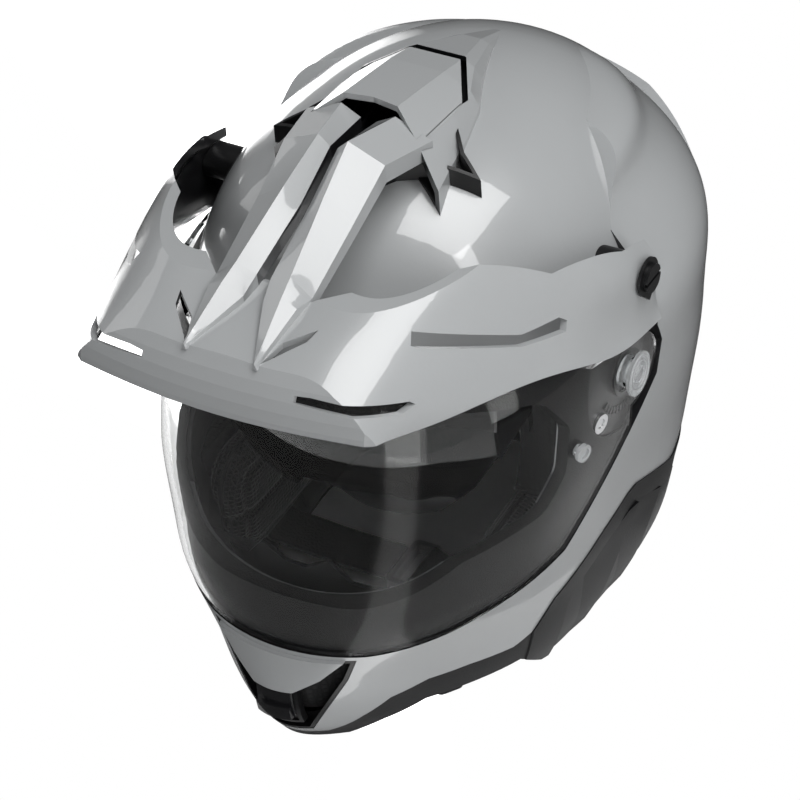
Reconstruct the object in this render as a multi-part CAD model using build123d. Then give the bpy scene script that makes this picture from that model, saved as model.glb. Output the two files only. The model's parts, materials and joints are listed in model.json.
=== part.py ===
from build123d import *
from functools import lru_cache
import math
import os

# A full-face dual sport helmet with a peak, a clear face shield and a drop-down sun visor.
# Millimetres, +Z up. The wearer looks along -Y, and the wearer's left is +X.
# The helmet stands on its lower rim at Z = 0, with the origin under the middle of its box.
# Outline points are shares of the reach, height or width named beside them.

# Dome of the shell, over the crown of the head
dome_half_width = 106.0
dome_front_reach = 124.0
dome_back_reach = 153.0
dome_centre_y = 2.0
dome_equator_height = 148.0
dome_rise = 119.5
dome_plan_power = 2.12
bulb_power = 2.3
bulb_foot_taper_share = 0.3
BULB_HEIGHT_SHARES = [-0.6, -0.42, -0.2, 0.0, 0.22, 0.42, 0.6, 0.75, 0.87, 0.95, 0.988]

# Lower body of the shell: chin bar, cheeks and back of the neck
body_half_width = 119.0
body_front_reach = 165.0
body_back_reach = 156.0
body_height = 262.0
body_centre_y = 25.0
outline_points = 20
# Share of the body's height, then of its half width, front reach and back reach, the powers that
# make its front and back curves blunter than an ellipse, and the share that its front is pinched by
BODY_SECTION_SHARES = [
    (-0.038, 0.755, 0.905, 0.590, 2.30, 2.20, 0.50),
    (0.000, 0.768, 0.921, 0.615, 2.30, 2.20, 0.52),
    (0.046, 0.808, 0.970, 0.689, 2.30, 2.20, 0.54),
    (0.164, 0.855, 1.000, 0.790, 2.30, 2.22, 0.42),
    (0.221, 0.878, 0.978, 0.837, 2.35, 2.24, 0.18),
    (0.286, 0.896, 0.955, 0.878, 2.50, 2.26, 0.02),
    (0.344, 0.915, 0.930, 0.908, 2.60, 2.24, 0.00),
    (0.458, 0.956, 0.903, 0.948, 2.65, 2.17, 0.00),
    (0.573, 0.980, 0.856, 0.963, 2.55, 2.12, 0.00),
    (0.687, 0.975, 0.803, 0.965, 2.35, 2.16, 0.00),
    (0.782, 0.850, 0.690, 0.905, 2.22, 2.18, 0.00),
    (0.859, 0.740, 0.520, 0.800, 2.20, 2.20, 0.00),
    (0.935, 0.560, 0.360, 0.600, 2.20, 2.20, 0.00),
    (0.985, 0.250, 0.150, 0.280, 2.20, 2.20, 0.00),
]

# Walls and clearances
shell_wall = 4.0
port_recess = 8.0
seam = 0.3
fit_gap = 0.05
cut_over = 40.0
prism_reach = 150.0

# Arch of the lower rim between the chin and the skirts, and the line that the black trim rises to
RIM_ARCH_SHARES = [
    (-1.2, -0.2), (-1.2, 0.0), (-0.855, 0.0), (-0.815, 0.036), (-0.740, 0.070),
    (-0.480, 0.070), (-0.375, 0.015), (-0.303, 0.0), (1.2, 0.0), (1.2, -0.2),
]
TRIM_LINE_SHARES = [
    (-1.2, -0.2), (-1.2, 0.020), (-0.905, 0.022), (-0.870, 0.064), (-0.825, 0.103), (-0.745, 0.126),
    (-0.642, 0.126), (-0.515, 0.118), (-0.455, 0.130), (-0.382, 0.184), (-0.291, 0.214), (-0.182, 0.248),
    (-0.042, 0.279), (0.006, 0.281), (0.176, 0.240), (0.267, 0.214), (0.400, 0.200), (1.2, 0.200),
    (1.2, -0.2),
]
trim_depth = 12.0

# Edge of the painted shell round the eye port, and the step above it that fades into the dome
PORT_SHARES = [
    (-1.3, 0.237), (-0.903, 0.237), (-0.752, 0.252), (-0.376, 0.305), (-0.090, 0.459), (0.050, 0.530),
    (0.068, 0.600), (0.040, 0.645), (0.050, 0.672), (0.055, 0.817), (0.250, 0.930), (0.480, 1.000),
    (0.480, 1.2), (-1.3, 1.2),
]
# Opening that the wearer looks through
EYE_SHARES = [
    (-1.3, 0.321), (-0.880, 0.326), (-0.697, 0.405), (-0.461, 0.431), (-0.380, 0.490), (-0.355, 0.580),
    (-0.424, 0.656), (-0.640, 0.691), (-1.3, 0.700),
]
eye_corner_radius = 9.0
gasket_lip = 2.0
gasket_thickness = 3.0
brow_height = 196.0

# Face shield and its ratchet plates
pivot_y = -14.0
pivot_z = 155.0
ear_radius = 20.0
shield_gap = 1.0
shield_outset = -0.3
shield_wall = 2.4
shield_shoulder_radius = 38.0
shield_shoulder_angle = 36.0
shield_brow_radius = 61.0
shield_brow_angle = 35.0
pivot_pin_radius = 8.0
pivot_cap_radius = 11.0
pivot_cap_thickness = 1.4
pivot_cap_lift = 1.0
plate_outset = -6.0
plate_radius = 32.0
plate_ring_radius = 12.5
plate_ring_width = 2.0
plate_ring_height = 0.6
plate_ring_foot = 1.8
plate_screw_y = -36.0
plate_screw_z = 139.0
plate_screw_radius = 5.0
plate_screw_head = 1.6
lens_pin_y = -57.0
lens_pin_z = 138.0
lens_pin_radius = 4.5
lens_pin_bore = 3.0
lens_pin_head = 3.0
lens_pin_dimple = 3.0

# Drop-down sun visor, part of a sphere about the pivot
visor_radius = 100.0
visor_wall = 2.2
visor_half_width = 76.0
visor_height = 92.0
visor_clearance = 2.5
visor_pocket_low_angle = -38.0
visor_pocket_high_angle = 68.0
visor_arm_wall = 1.6
visor_boss_radius = 8.0
visor_boss_room_share = 2.2
visor_boss_neck_share = 0.8
visor_pin_radius = 3.0
# Share of the visor's half width, then of its height above the pivot
VISOR_SHARES = [
    (0.000, -0.360), (0.130, -0.380), (0.240, -0.510), (0.420, -0.600), (0.640, -0.570), (0.860, -0.380),
    (1.000, -0.180), (1.000, 0.120), (0.900, 0.250), (0.640, 0.410), (0.000, 0.460),
]

# Energy-absorbing liner and comfort liner round the head
head_half_width = 74.0
head_front_reach = 92.0
head_back_reach = 98.0
head_centre_y = 4.0
head_equator_height = 135.0
head_rise = 93.0
head_plan_power = 2.0
comfort_wall = 8.0
liner_split_height = 92.0
brow_liner_height = 188.0
chin_liner_top = 62.0
chin_liner_low = 16.0
mouth_half_width = 64.0
mouth_front_reach = 127.0
mouth_back_reach = 92.0
mouth_front_power = 2.15
mouth_back_power = 2.4
cheek_front_y = -92.0
cheek_back_y = 44.0
cheek_low_z = 24.0
cheek_outer_x = 82.0
cheek_inner_x = 60.0
cheek_corner_radius = 22.0
CHEEK_CROWN_SHARES = [(0.0, 0.2), (0.35, 0.0), (0.75, 0.15), (1.0, 0.7)]
cheek_corner_share = 0.4
cheek_rim_gap = 0.9
cheek_channel_depth = 2.0
cheek_channel_width = 3.0
neck_roll_front_y = -20.0
neck_roll_height = 20.0
neck_hole_half_width = 68.0
neck_hole_back_y = 84.0
neck_roll_crown = 6.0
NECK_CROWN_SHARES = [(-0.1, 1.0), (0.25, 0.35), (0.5, 0.0), (0.75, 0.35), (1.1, 1.0)]
curtain_wall = 2.0
curtain_height = 4.0
curtain_back_y = -128.0

# Chin vent
chin_vent_half_width = 38.0
chin_vent_top = 60.0
chin_vent_height = 50.0
chin_vent_proud = 2.4
shutter_half_width = 9.0
shutter_top_share = 0.62
shutter_height = 17.0
shutter_proud = 4.0
shutter_travel = 5.0
shutter_play = 0.8
chin_slot_rim = 2.0
chin_seat = 1.4
CHIN_FRAME_SHARES = [(1.0, 1.0), (0.86, 0.72), (0.34, 0.0)]
CHIN_COVER_TOP_SHARES = [(-1.3, 0.237), (-0.7, 0.237), (-0.7, 0.4), (-1.3, 0.4)]
CHIN_COVER_SHARES = [(0.88, 1.0), (0.60, 0.78), (0.27, 0.62)]

# Breath guard and demisting louvres behind the chin bar
louvre_half_width = 44.0
louvre_count = 10
louvre_fin = 1.2
louvre_height = 12.0
louvre_depth = 12.0
louvre_wall = 1.6
guard_top_height = 101.0
guard_top_outset = -15.0
guard_foot_outset = -22.5
guard_wall = 2.4
GUARD_SHARES = [(0.0, 0.72), (0.12, 0.72), (0.40, 1.0), (0.62, 0.52), (1.0, 0.30), (1.0, 0.0)]

# Top vent over the brow
vent_wall = 3.0
vent_foot_share = 0.8
# Share of the body's front reach, then (x, z) of the side's edge, shoulder and crest
# as shares of the dome's half width and the body's height
VENT_SECTION_SHARES = [
    (-0.352, (0.402, 1.004), (0.271, 1.067), (0.131, 1.118)),
    (-0.233, (0.369, 1.008), (0.271, 1.063), (0.131, 1.107)),
    (-0.097, (0.336, 1.011), (0.276, 1.055), (0.131, 1.092)),
    (0.024, (0.295, 1.021), (0.256, 1.052), (0.131, 1.078)),
    (0.139, (0.215, 1.027), (0.178, 1.048), (0.126, 1.061)),
    (0.333, (0.101, 1.006), (0.084, 1.013), (0.047, 1.019)),
    (0.485, (0.037, 0.970), (0.028, 0.973), (0.014, 0.976)),
]
# Plan of the swept-back front edge, from the middle to beyond the tip
VENT_FRONT_SHARES = [(0.0, -0.215), (0.131, -0.233), (0.402, -0.339), (0.600, -0.339)]
# Plan of the sliding tongue's left half, ahead of its back edge
VENT_TONGUE_SHARES = [(0.265, -0.6), (0.265, -0.036), (0.122, 0.127)]
vent_tongue_low_share = 1.015
vent_gap = 0.5
vent_slider_travel = 4.5
duct_floor_wall = 1.5
duct_rise = 8.0
duct_rib_wall = 1.6
duct_rib_pitch = 8.0
duct_rib_count = 9
# Plan of the inlet's left half, from the front to the back under the vent
DUCT_PLAN_SHARES = [
    (0.0, -0.400), (0.055, -0.388), (0.170, -0.310), (0.300, -0.262), (0.505, -0.227), (0.390, -0.180),
    (0.290, -0.100), (0.0, -0.100),
]

# Peak
peak_wall = 3.0
peak_half_width = 119.0
peak_lip_height = 214.0
peak_lip_round = 40.0
peak_lip_steps = 8
# Share of the body's front reach, then (x, z) shares of peak_half_width and body_height
PEAK_SECTION_SHARES = [
    (0.045, (1.000, 0.660), (0.985, 0.748), (0.935, 0.820), (0.520, 0.985), 1.050),
    (-0.120, (1.000, 0.680), (0.970, 0.770), (0.897, 0.868), (0.500, 1.000), 1.060),
    (-0.333, (0.976, 0.726), (0.900, 0.830), (0.775, 0.928), (0.420, 1.005), 1.040),
    (-0.510, (0.915, 0.770), (0.800, 0.885), (0.625, 0.978), (0.330, 1.005), 1.005),
    (-0.700, (0.820, 0.795), (0.700, 0.905), (0.525, 0.978), (0.280, 0.988), 0.985),
    (-0.840, (0.740, 0.806), (0.640, 0.905), (0.455, 0.962), (0.240, 0.968), 0.965),
    (-1.000, (0.660, 0.830), (0.570, 0.900), (0.390, 0.938), (0.200, 0.942), 0.940),
    (-1.200, (0.600, 0.830), (0.540, 0.860), (0.360, 0.880), (0.180, 0.884), 0.884),
]
# Plan of the front lip, shares of peak_half_width and of body_front_reach
PEAK_PLAN_SHARES = [(1.20, 0.30), (1.20, -0.80), (0.765, -1.000), (0.600, -1.100)]
peak_lip_reach = 189.0
# How far each corner of a section moves in and down when the peak is drawn in
PEAK_NORMAL_SHARES = [(1.0, 0.0), (1.0, 0.3), (0.7, 0.8), (0.3, 1.0)]
# Plan of the openings beside the struts
PEAK_OPENING_SHARES = [
    (0.000, -0.800), (0.202, -0.836), (0.660, -0.510), (0.825, -0.351), (0.925, -0.079), (0.948, 0.300),
    (0.000, 0.300),
]
# Slots through the peak: side views of the long and the short one, and the plan of those
# beside the struts' tips
PEAK_LONG_SLOT_SHARES = [
    (-0.824, 0.929), (-0.794, 0.943), (-0.533, 0.855), (-0.394, 0.838), (-0.370, 0.823), (-0.388, 0.809),
    (-0.545, 0.838), (-0.806, 0.920),
]
PEAK_SHORT_SLOT_SHARES = [
    (-1.081, 0.906), (-0.927, 0.870), (-0.915, 0.861), (-0.961, 0.860), (-1.091, 0.891), (-1.106, 0.900),
]
PEAK_NOSE_SLOT_SHARES = [(0.156, -1.058), (0.277, -0.959), (0.292, -0.915), (0.192, -0.979)]
peak_slot_depth_share = 0.32
# Struts: share of body_front_reach, then (x, z) of inner foot, inner top, crest, outer top, outer foot
STRUT_SECTION_SHARES = [
    (-1.075, (0.140, 0.926), (0.145, 0.934), (0.148, 0.938), (0.153, 0.934), (0.158, 0.926)),
    (-0.890, (0.040, 0.930), (0.042, 0.970), (0.124, 0.990), (0.185, 0.975), (0.190, 0.930)),
    (-0.830, (0.026, 0.965), (0.030, 0.990), (0.115, 1.004), (0.200, 0.972), (0.202, 0.950)),
    (-0.600, (0.016, 1.010), (0.018, 1.040), (0.085, 1.068), (0.205, 1.030), (0.205, 1.000)),
    (-0.435, (0.012, 1.060), (0.016, 1.090), (0.063, 1.110), (0.215, 1.080), (0.215, 1.045)),
    (-0.248, (0.030, 1.035), (0.035, 1.072), (0.116, 1.092), (0.270, 1.062), (0.270, 1.030)),
]
peak_screw_y = -4.0
peak_screw_z = 204.0
peak_screw_radius = 7.0
peak_screw_head = 2.4
peak_plate_wall = 1.6
peak_plate_radius = 9.5
peak_plate_tail = 13.0
peak_tail_drop = 4.0
peak_mount_radius = 9.0

# Skirts over the lower sides, with three rippled ribs
skirt_proud = 0.8
skirt_seat = 4.7
SKIRT_ZONE_SHARES = [(-0.503, -0.2), (-0.455, 0.125), (-0.440, 0.5), (1.2, 0.5), (1.2, -0.2)]
SKIRT_PANEL_SHARES = [
    (-0.345, -0.2), (-0.336, 0.055), (-0.315, 0.130), (-0.291, 0.159), (-0.170, 0.198), (-0.024, 0.231),
    (0.036, 0.229), (0.230, 0.168), (0.420, 0.120), (0.500, 0.040), (0.500, -0.2),
]
rib_count = 3
rib_reach_shares = (-0.34, 0.30)
rib_width_share = 0.94
rib_lean_share = 0.8
rib_top = 62.0
rib_flare_angle = 5.0

# Rear spoiler and exhaust vent
spoiler_proud = 5.0
SPOILER_SHARES = [
    (0.0, 0.80), (0.40, 0.76), (0.75, 0.60), (0.77, 0.535), (0.55, 0.62), (0.25, 0.66), (0.0, 0.66),
]
EXHAUST_SHARES = [(0.0, 0.645), (0.25, 0.645), (0.55, 0.605), (0.70, 0.545), (0.45, 0.52), (0.0, 0.50)]

# Chin strap
strap_width = 25.0
strap_wall = 2.2
strap_y = -34.0
strap_top = 21.0
strap_height = 13.0
strap_sag = 5.0
strap_bend_share = 0.85
strap_end_share = 0.135
ring_wire = 3.0
ring_length = 15.5
ring_corner = 1.0
rivet_radius = 2.8
rivet_head = 2.0

# Sun visor slider under the left rim
slider_y = -98.0
slider_length = 14.0
slider_width = 6.0
slider_knob = 4.0
slider_travel = 22.0
slider_slot_depth = 4.0
rim_drop = 0.5


def signed_power(value, power):
    return math.copysign(abs(value) ** power, value)


def level_outline(
    height, half_width, front_reach, back_reach, centre_y, front_power, back_power, pinch=0.0
):
    """A closed level curve round the head, blunter than an ellipse, reaching from front to back."""
    points = []
    for i in range(outline_points):
        turn = 2 * math.pi * i / outline_points
        power = 2 / (front_power if math.sin(turn) < 0 else back_power)
        reach = front_reach + centre_y if math.sin(turn) < 0 else back_reach - centre_y
        x = half_width * signed_power(math.cos(turn), power)
        if math.sin(turn) < 0:
            x *= 1 - pinch * math.sin(turn) ** 4
        y = centre_y + reach * signed_power(math.sin(turn), power)
        points.append(Vector(x, y, height))
    steps = [i / outline_points for i in range(outline_points + 1)]
    return Wire([Edge.make_spline(points, periodic=True, parameters=steps)])


def bulb(half_width, front_reach, back_reach, centre_y, equator, rise, plan_power, outset):
    """A domed form with its widest level at the equator, grown outwards by outset."""
    sections = []
    for share in BULB_HEIGHT_SHARES:
        if share > 0:
            spread = (1 - share**bulb_power) ** (1 / bulb_power)
        else:
            spread = 1 - bulb_foot_taper_share * share**2
        sections.append(
            level_outline(
                equator + (rise + outset) * share,
                (half_width + outset) * spread,
                (front_reach + outset) * spread - centre_y,
                (back_reach + outset) * spread + centre_y,
                centre_y,
                plan_power,
                plan_power,
            )
        )
    return Solid.make_loft([*sections, Vertex(0, centre_y, equator + rise + outset)])


@lru_cache(maxsize=None)
def dome(outset):
    return bulb(
        dome_half_width, dome_front_reach, dome_back_reach, dome_centre_y, dome_equator_height, dome_rise,
        dome_plan_power, outset,
    )


@lru_cache(maxsize=None)
def head(outset):
    return bulb(
        head_half_width, head_front_reach, head_back_reach, head_centre_y, head_equator_height, head_rise,
        head_plan_power, outset,
    )


def body_outline(share, width, front, back, front_power, back_power, pinch, outset):
    return level_outline(
        share * (body_height + outset),
        body_half_width * width + outset,
        body_front_reach * front + outset,
        body_back_reach * back + outset,
        body_centre_y,
        front_power,
        back_power,
        pinch,
    )


@lru_cache(maxsize=None)
def body(outset):
    """The lower body of the helmet, grown outwards by outset."""
    return Solid.make_loft([body_outline(*row, outset) for row in BODY_SECTION_SHARES])


def body_level(height, outset):
    """The body's outline at any height, between the rows of its table."""
    share = height / body_height
    for low, high in zip(BODY_SECTION_SHARES, BODY_SECTION_SHARES[1:]):
        if low[0] <= share <= high[0]:
            part = (share - low[0]) / (high[0] - low[0])
            row = [a + (b - a) * part for a, b in zip(low, high)]
            return level_outline(
                height,
                body_half_width * row[1] + outset,
                body_front_reach * row[2] + outset,
                body_back_reach * row[3] + outset,
                body_centre_y,
                *row[4:],
            )


def body_side(y, z, outset):
    """Half width of the body's surface at one place of its side."""
    share = z / body_height
    for low, high in zip(BODY_SECTION_SHARES, BODY_SECTION_SHARES[1:]):
        if low[0] <= share <= high[0]:
            part = (share - low[0]) / (high[0] - low[0])
            row = [a + (b - a) * part for a, b in zip(low, high)]
            if y < body_centre_y:
                power, reach = row[4], body_front_reach * row[2] + outset + body_centre_y
            else:
                power, reach = row[5], body_back_reach * row[3] + outset - body_centre_y
            along = abs(y - body_centre_y) / reach
            pinch = row[6] * along ** (2 * power) if y < body_centre_y else 0
            return (body_half_width * row[1] + outset) * (1 - along**power) ** (1 / power) * (1 - pinch)


def outline(points):
    return make_face(Polyline(*points, close=True))


def side_outline(shares):
    """A flat outline drawn in the side view from shares of the front reach and the height."""
    return outline([(y * body_front_reach, z * body_height) for y, z in shares])


def across(sketch, low=-prism_reach, high=prism_reach):
    """Extrude a side view outline across the helmet, from low to high along X."""
    return extrude(Plane.YZ.offset(low) * sketch, amount=high - low)


def frontward(sketch, back_y=0.0):
    """Extrude a front view outline forwards from back_y."""
    return extrude(Plane.XZ.offset(-back_y) * sketch, amount=body_front_reach + cut_over + back_y)


def rearward(sketch, front_y=0.0):
    """Extrude a front view outline backwards from front_y."""
    return extrude(Plane.XZ.offset(-front_y) * sketch, amount=-(body_back_reach + cut_over - front_y))


def block(x0, x1, y0, y1, z0, z1):
    return Pos((x0 + x1) / 2, (y0 + y1) / 2, (z0 + z1) / 2) * Box(x1 - x0, y1 - y0, z1 - z0)


def slab(low, high):
    """Everything between two heights."""
    return block(-prism_reach, prism_reach, -prism_reach * 2, prism_reach * 2, low, high)


left_side = block(
    seam / 2, prism_reach, -prism_reach * 2, prism_reach * 2, -cut_over, body_height + cut_over
)


def mirrored(shares):
    """Both halves of a front view outline that is given for the left side, from top to foot."""
    return shares + [(-x, z) for x, z in reversed(shares) if x > 0]


def across_pin(y, z, radius, x0, x1):
    """A round bar along X."""
    return Pos((x0 + x1) / 2, y, z) * Rot(0, 90, 0) * Cylinder(radius, x1 - x0)


def side_plane(y, z, outset):
    """A plane on the body's left side, square to its surface."""
    step = fit_gap
    x = body_side(y, z, outset)
    slope_y = (body_side(y + step, z, outset) - x) / step
    slope_z = (body_side(y, z + step, outset) - x) / step
    return Plane(origin=(x, y, z), z_dir=(1, -slope_y, -slope_z))


def stud(plane, radius, low, high):
    """A round bar along a plane's normal, from low to high."""
    return plane * Pos(0, 0, (low + high) / 2) * Cylinder(radius, high - low)


def right_of(part):
    return mirror(part, about=Plane.YZ)


def polar(radius, angle):
    """A place in the side view, at an angle above straight ahead of the pivot."""
    turn = math.radians(angle)
    return (pivot_y - radius * math.cos(turn), pivot_z + radius * math.sin(turn))


def layer(outer, inner, region):
    """The part of the body's wall between two outsets that lies in a region."""
    return (body(outer) & region) - body(inner)


def circle_at(y, z, radius):
    return Pos(y, z) * Circle(radius)


under_rim = across(side_outline(RIM_ARCH_SHARES)) + slab(-cut_over, 0)
below_trim = across(side_outline(TRIM_LINE_SHARES))
eye_corners = side_outline(EYE_SHARES).vertices().filter_by(lambda v: v.X > -body_front_reach)
eye_face = fillet(eye_corners, eye_corner_radius)


def grown(sketch, amount):
    return offset(sketch, amount=amount, kind=Kind.INTERSECTION)


def port_outline(margin):
    """The eye port's edge in the side view, round about the shield's pivot, grown by a margin."""
    edge = side_outline(PORT_SHARES)
    if margin:
        edge = grown(edge, margin)
    return edge + circle_at(pivot_y, pivot_z, ear_radius + shield_gap + margin)


@lru_cache(maxsize=None)
def painted_form(outset):
    """The whole helmet's form: dome, stepped body and the recessed eye port."""
    step = across(port_outline(-outset))
    brow = slab(-cut_over, brow_height + outset)
    return dome(outset) + (body(outset) - step) + (body(outset - port_recess) & brow)


def make_outer_shell():
    shell = painted_form(0) - painted_form(-shell_wall)
    shell -= across(grown(eye_face, gasket_lip))
    shell -= frontward(chin_outline(CHIN_FRAME_SHARES), -mouth_back_reach)
    shell -= below_trim
    return shell


def make_gasket():
    region = port_outline(-shield_gap) - eye_face - circle_at(pivot_y, pivot_z, plate_radius + seam)
    region = across(region) - dome(seam)
    face = layer(-port_recess + gasket_thickness + seam, -port_recess + seam, region)
    lip_region = across(grown(eye_face, gasket_lip - seam)) - across(eye_face)
    lip = layer(-port_recess + gasket_thickness + seam, -port_recess - shell_wall / 2, lip_region)
    return (face + lip) & slab(0, brow_height - seam)


def make_rim_trim():
    front = layer(0, -trim_depth, below_trim - under_rim)
    seat = layer(cut_over, -skirt_seat - seam, below_trim & skirt_zone(0))
    return front - seat


def skirt_zone(margin):
    """Side region that the skirts cover, below the trim line and behind the front trim."""
    return across(grown(side_outline(SKIRT_ZONE_SHARES), margin))


def make_skirt_frame():
    panel = across(side_outline(SKIRT_PANEL_SHARES))
    frame = layer(skirt_proud, -skirt_seat, below_trim & skirt_zone(-seam)) - panel - under_rim
    return frame & left_side


def make_skirt_panel():
    zone = across(grown(side_outline(SKIRT_PANEL_SHARES), -seam), 0) - under_rim
    seat = -skirt_seat + seam
    panel = layer(-2 * skirt_proud, seat, zone)
    low_y, high_y = (share * body_front_reach for share in rib_reach_shares)
    pitch = (high_y - low_y) / rib_count
    for i in range(rib_count):
        start = low_y + i * pitch
        end = start + pitch * rib_width_share
        lean = pitch * rib_lean_share
        band = outline([(start, 0), (end, 0), (end + lean, rib_top), (start + lean, rib_top)])
        hinge_y = start + lean
        hinge = Pos(body_side(hinge_y, rib_top, 0), hinge_y, 0)
        flared = hinge * Rot(0, 0, -rib_flare_angle) * hinge.inverse() * body(-skirt_proud)
        panel += (flared & across(band, 0) & zone) - body((seat - 2 * skirt_proud) / 2)
    return panel & left_side


def make_shield():
    brow = polar(shield_brow_radius, shield_brow_angle)
    shoulder = polar(shield_shoulder_radius, shield_shoulder_angle)
    front = [(-body_front_reach - cut_over, brow[1]), brow, shoulder, (pivot_y, pivot_z + ear_radius)]
    rear = [(pivot_y, pivot_z - cut_over), (pivot_y, 0), (-body_front_reach - cut_over, 0)]
    pane = port_outline(-shield_gap) & (outline(front + rear) + circle_at(pivot_y, pivot_z, ear_radius))
    shield = layer(shield_outset, shield_outset - shield_wall, across(pane))
    shield -= across_pin(pivot_y, pivot_z, pivot_pin_radius + fit_gap, -prism_reach, prism_reach)
    bore = stud(lens_pin_plane(), lens_pin_bore + fit_gap, -cut_over, cut_over)
    return shield - bore - right_of(bore)


def lens_pin_plane():
    return side_plane(lens_pin_y, lens_pin_z, shield_outset)


def make_lens_pin():
    """A stepped pin through the shield that an inner lens clips on to."""
    plane = lens_pin_plane()
    shank = stud(plane, lens_pin_bore, -shield_wall - seam, lens_pin_head / 2)
    head = stud(plane, lens_pin_radius, -lens_pin_head / 2, lens_pin_head)
    head -= body(shield_outset + fit_gap)
    return shank + head - stud(plane, lens_pin_dimple, lens_pin_head / 2, cut_over)


def make_base_plate():
    """Ratchet plate in the recess behind the shield's ear, with a ring round the pivot."""
    inset = port_outline(-shield_gap) & circle_at(pivot_y, pivot_z, plate_radius)
    plate = layer(plate_outset, -port_recess + seam, across(inset, 0))
    top = body_side(pivot_y, pivot_z, plate_outset) + plate_ring_height
    ring = across_pin(pivot_y, pivot_z, plate_ring_radius, top - plate_ring_foot, top)
    ring -= across_pin(pivot_y, pivot_z, plate_ring_radius - plate_ring_width, 0, prism_reach)
    plate += ring - body(-port_recess + seam)
    plate -= across_pin(pivot_y, pivot_z, pivot_pin_radius + fit_gap, 0, prism_reach)
    screw = plate_screw_plane()
    plate -= stud(screw, plate_screw_radius / 2 + fit_gap, -port_recess, cut_over)
    return plate - stud(screw, plate_screw_radius + seam, -seam, cut_over) - dome(seam)


def plate_screw_plane():
    return side_plane(plate_screw_y, plate_screw_z, plate_outset)


def make_pivot_cap():
    """The pin that the shield turns on, with the cap that holds the ear."""
    face = body_side(pivot_y, pivot_z, 0) + pivot_cap_lift
    foot = body_side(pivot_y, pivot_z, -port_recess)
    pin = across_pin(pivot_y, pivot_z, pivot_pin_radius, foot, face) - body(-port_recess + seam)
    cap = across_pin(pivot_y, pivot_z, pivot_cap_radius, face, face + pivot_cap_thickness)
    slot = block(
        face + pivot_cap_thickness / 2, prism_reach,
        pivot_y - pivot_cap_radius / 2, pivot_y + pivot_cap_radius / 2,
        pivot_z - pivot_cap_thickness / 2, pivot_z + pivot_cap_thickness / 2,
    )
    return pin + cap - slot


def make_plate_screw():
    plane = plate_screw_plane()
    depth = plate_outset + port_recess - 2 * seam
    shank = stud(plane, plate_screw_radius / 2, -depth, fit_gap)
    head = stud(plane, plate_screw_radius, 0, plate_screw_head)
    head -= stud(plane, plate_screw_radius / 2, plate_screw_head / 2, cut_over)
    return shank + head - body(-port_recess + seam)


def sphere_at_pivot(radius):
    return Pos(0, pivot_y, pivot_z) * Sphere(radius)


def make_sun_visor():
    points = [(x * visor_half_width, pivot_z + z * visor_height) for x, z in VISOR_SHARES]
    face = outline(mirrored(points))
    shell = sphere_at_pivot(visor_radius) - sphere_at_pivot(visor_radius - visor_wall)
    return shell & frontward(face, pivot_y)


def visor_edge_radius():
    return math.sqrt(visor_radius**2 - visor_half_width**2)


def make_visor_arm():
    """Flat arm from the visor's side edge back to its pivot."""
    reach = visor_edge_radius()
    low, high = (z * visor_height for _, z in (VISOR_SHARES[6], VISOR_SHARES[7]))
    arm = Polyline(
        (pivot_y + visor_boss_radius / 2, pivot_z - visor_boss_radius * visor_boss_neck_share),
        (pivot_y - math.sqrt(reach**2 - low**2), pivot_z + low),
        (pivot_y - reach, pivot_z),
        (pivot_y - math.sqrt(reach**2 - high**2), pivot_z + high),
        (pivot_y + visor_boss_radius / 2, pivot_z + visor_boss_radius * visor_boss_neck_share),
        close=True,
    )
    plate = make_face(arm) + circle_at(pivot_y, pivot_z, visor_boss_radius)
    plate -= circle_at(pivot_y, pivot_z, visor_pin_radius + fit_gap)
    return across(plate, visor_half_width, visor_half_width + visor_arm_wall)


def make_visor_pin():
    pin = across_pin(pivot_y, pivot_z, visor_pin_radius, visor_half_width - seam, prism_reach)
    return pin & painted_form(-shell_wall - seam)


def visor_pocket():
    """Room between the shell and the liner that the visor and its arms sweep through."""
    far = body_front_reach + cut_over
    wedge = [(pivot_y, pivot_z)]
    steps = 4
    for i in range(steps + 1):
        angle = visor_pocket_low_angle + (visor_pocket_high_angle - visor_pocket_low_angle) * i / steps
        wedge.append(polar(far, angle))
    inside = visor_half_width - seam
    outside = visor_half_width + visor_arm_wall + seam
    wedge_face = outline(wedge) + circle_at(pivot_y, pivot_z, visor_boss_radius * visor_boss_room_share)
    sweep = across(wedge_face, -outside, outside)
    kept = sphere_at_pivot(visor_radius - visor_wall - visor_clearance) & block(
        -inside, inside, -far, far, 0, far * 2
    )
    pin_hole = across_pin(pivot_y, pivot_z, visor_pin_radius + seam, -prism_reach, prism_reach)
    return sweep - kept + pin_hole


def eye_window():
    """Straight way out in front of the eyes, which the liners leave free."""
    return block(
        -prism_reach, prism_reach, -body_front_reach - cut_over, cheek_front_y / 2, 0, brow_liner_height
    )


def make_eps_crown():
    core = painted_form(-shell_wall - seam) & slab(liner_split_height, body_height + cut_over)
    return core - head(comfort_wall + seam) - eye_window() - visor_pocket()


def mouth_outline(margin):
    return level_outline(
        -cut_over, mouth_half_width + margin, mouth_front_reach + margin, mouth_back_reach + margin,
        head_centre_y, mouth_front_power, mouth_back_power,
    )


def mouth_space(margin):
    """The upright space inside the lower liners."""
    return extrude(Face(mouth_outline(margin)), amount=body_height)


def lower_liner():
    return body(-port_recess - shell_wall - seam) - under_rim


def make_eps_chin():
    region = slab(chin_liner_low, chin_liner_top) & block(
        -cheek_outer_x, cheek_outer_x, -body_front_reach, cheek_front_y - comfort_wall, 0, body_height
    )
    return (lower_liner() & region) - mouth_space(0)


def make_eps_cheek():
    region = block(
        cheek_outer_x + seam, prism_reach, cheek_front_y - comfort_wall + seam, head_back_reach / 2,
        cheek_low_z, liner_split_height - seam,
    )
    return lower_liner() & region


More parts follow.
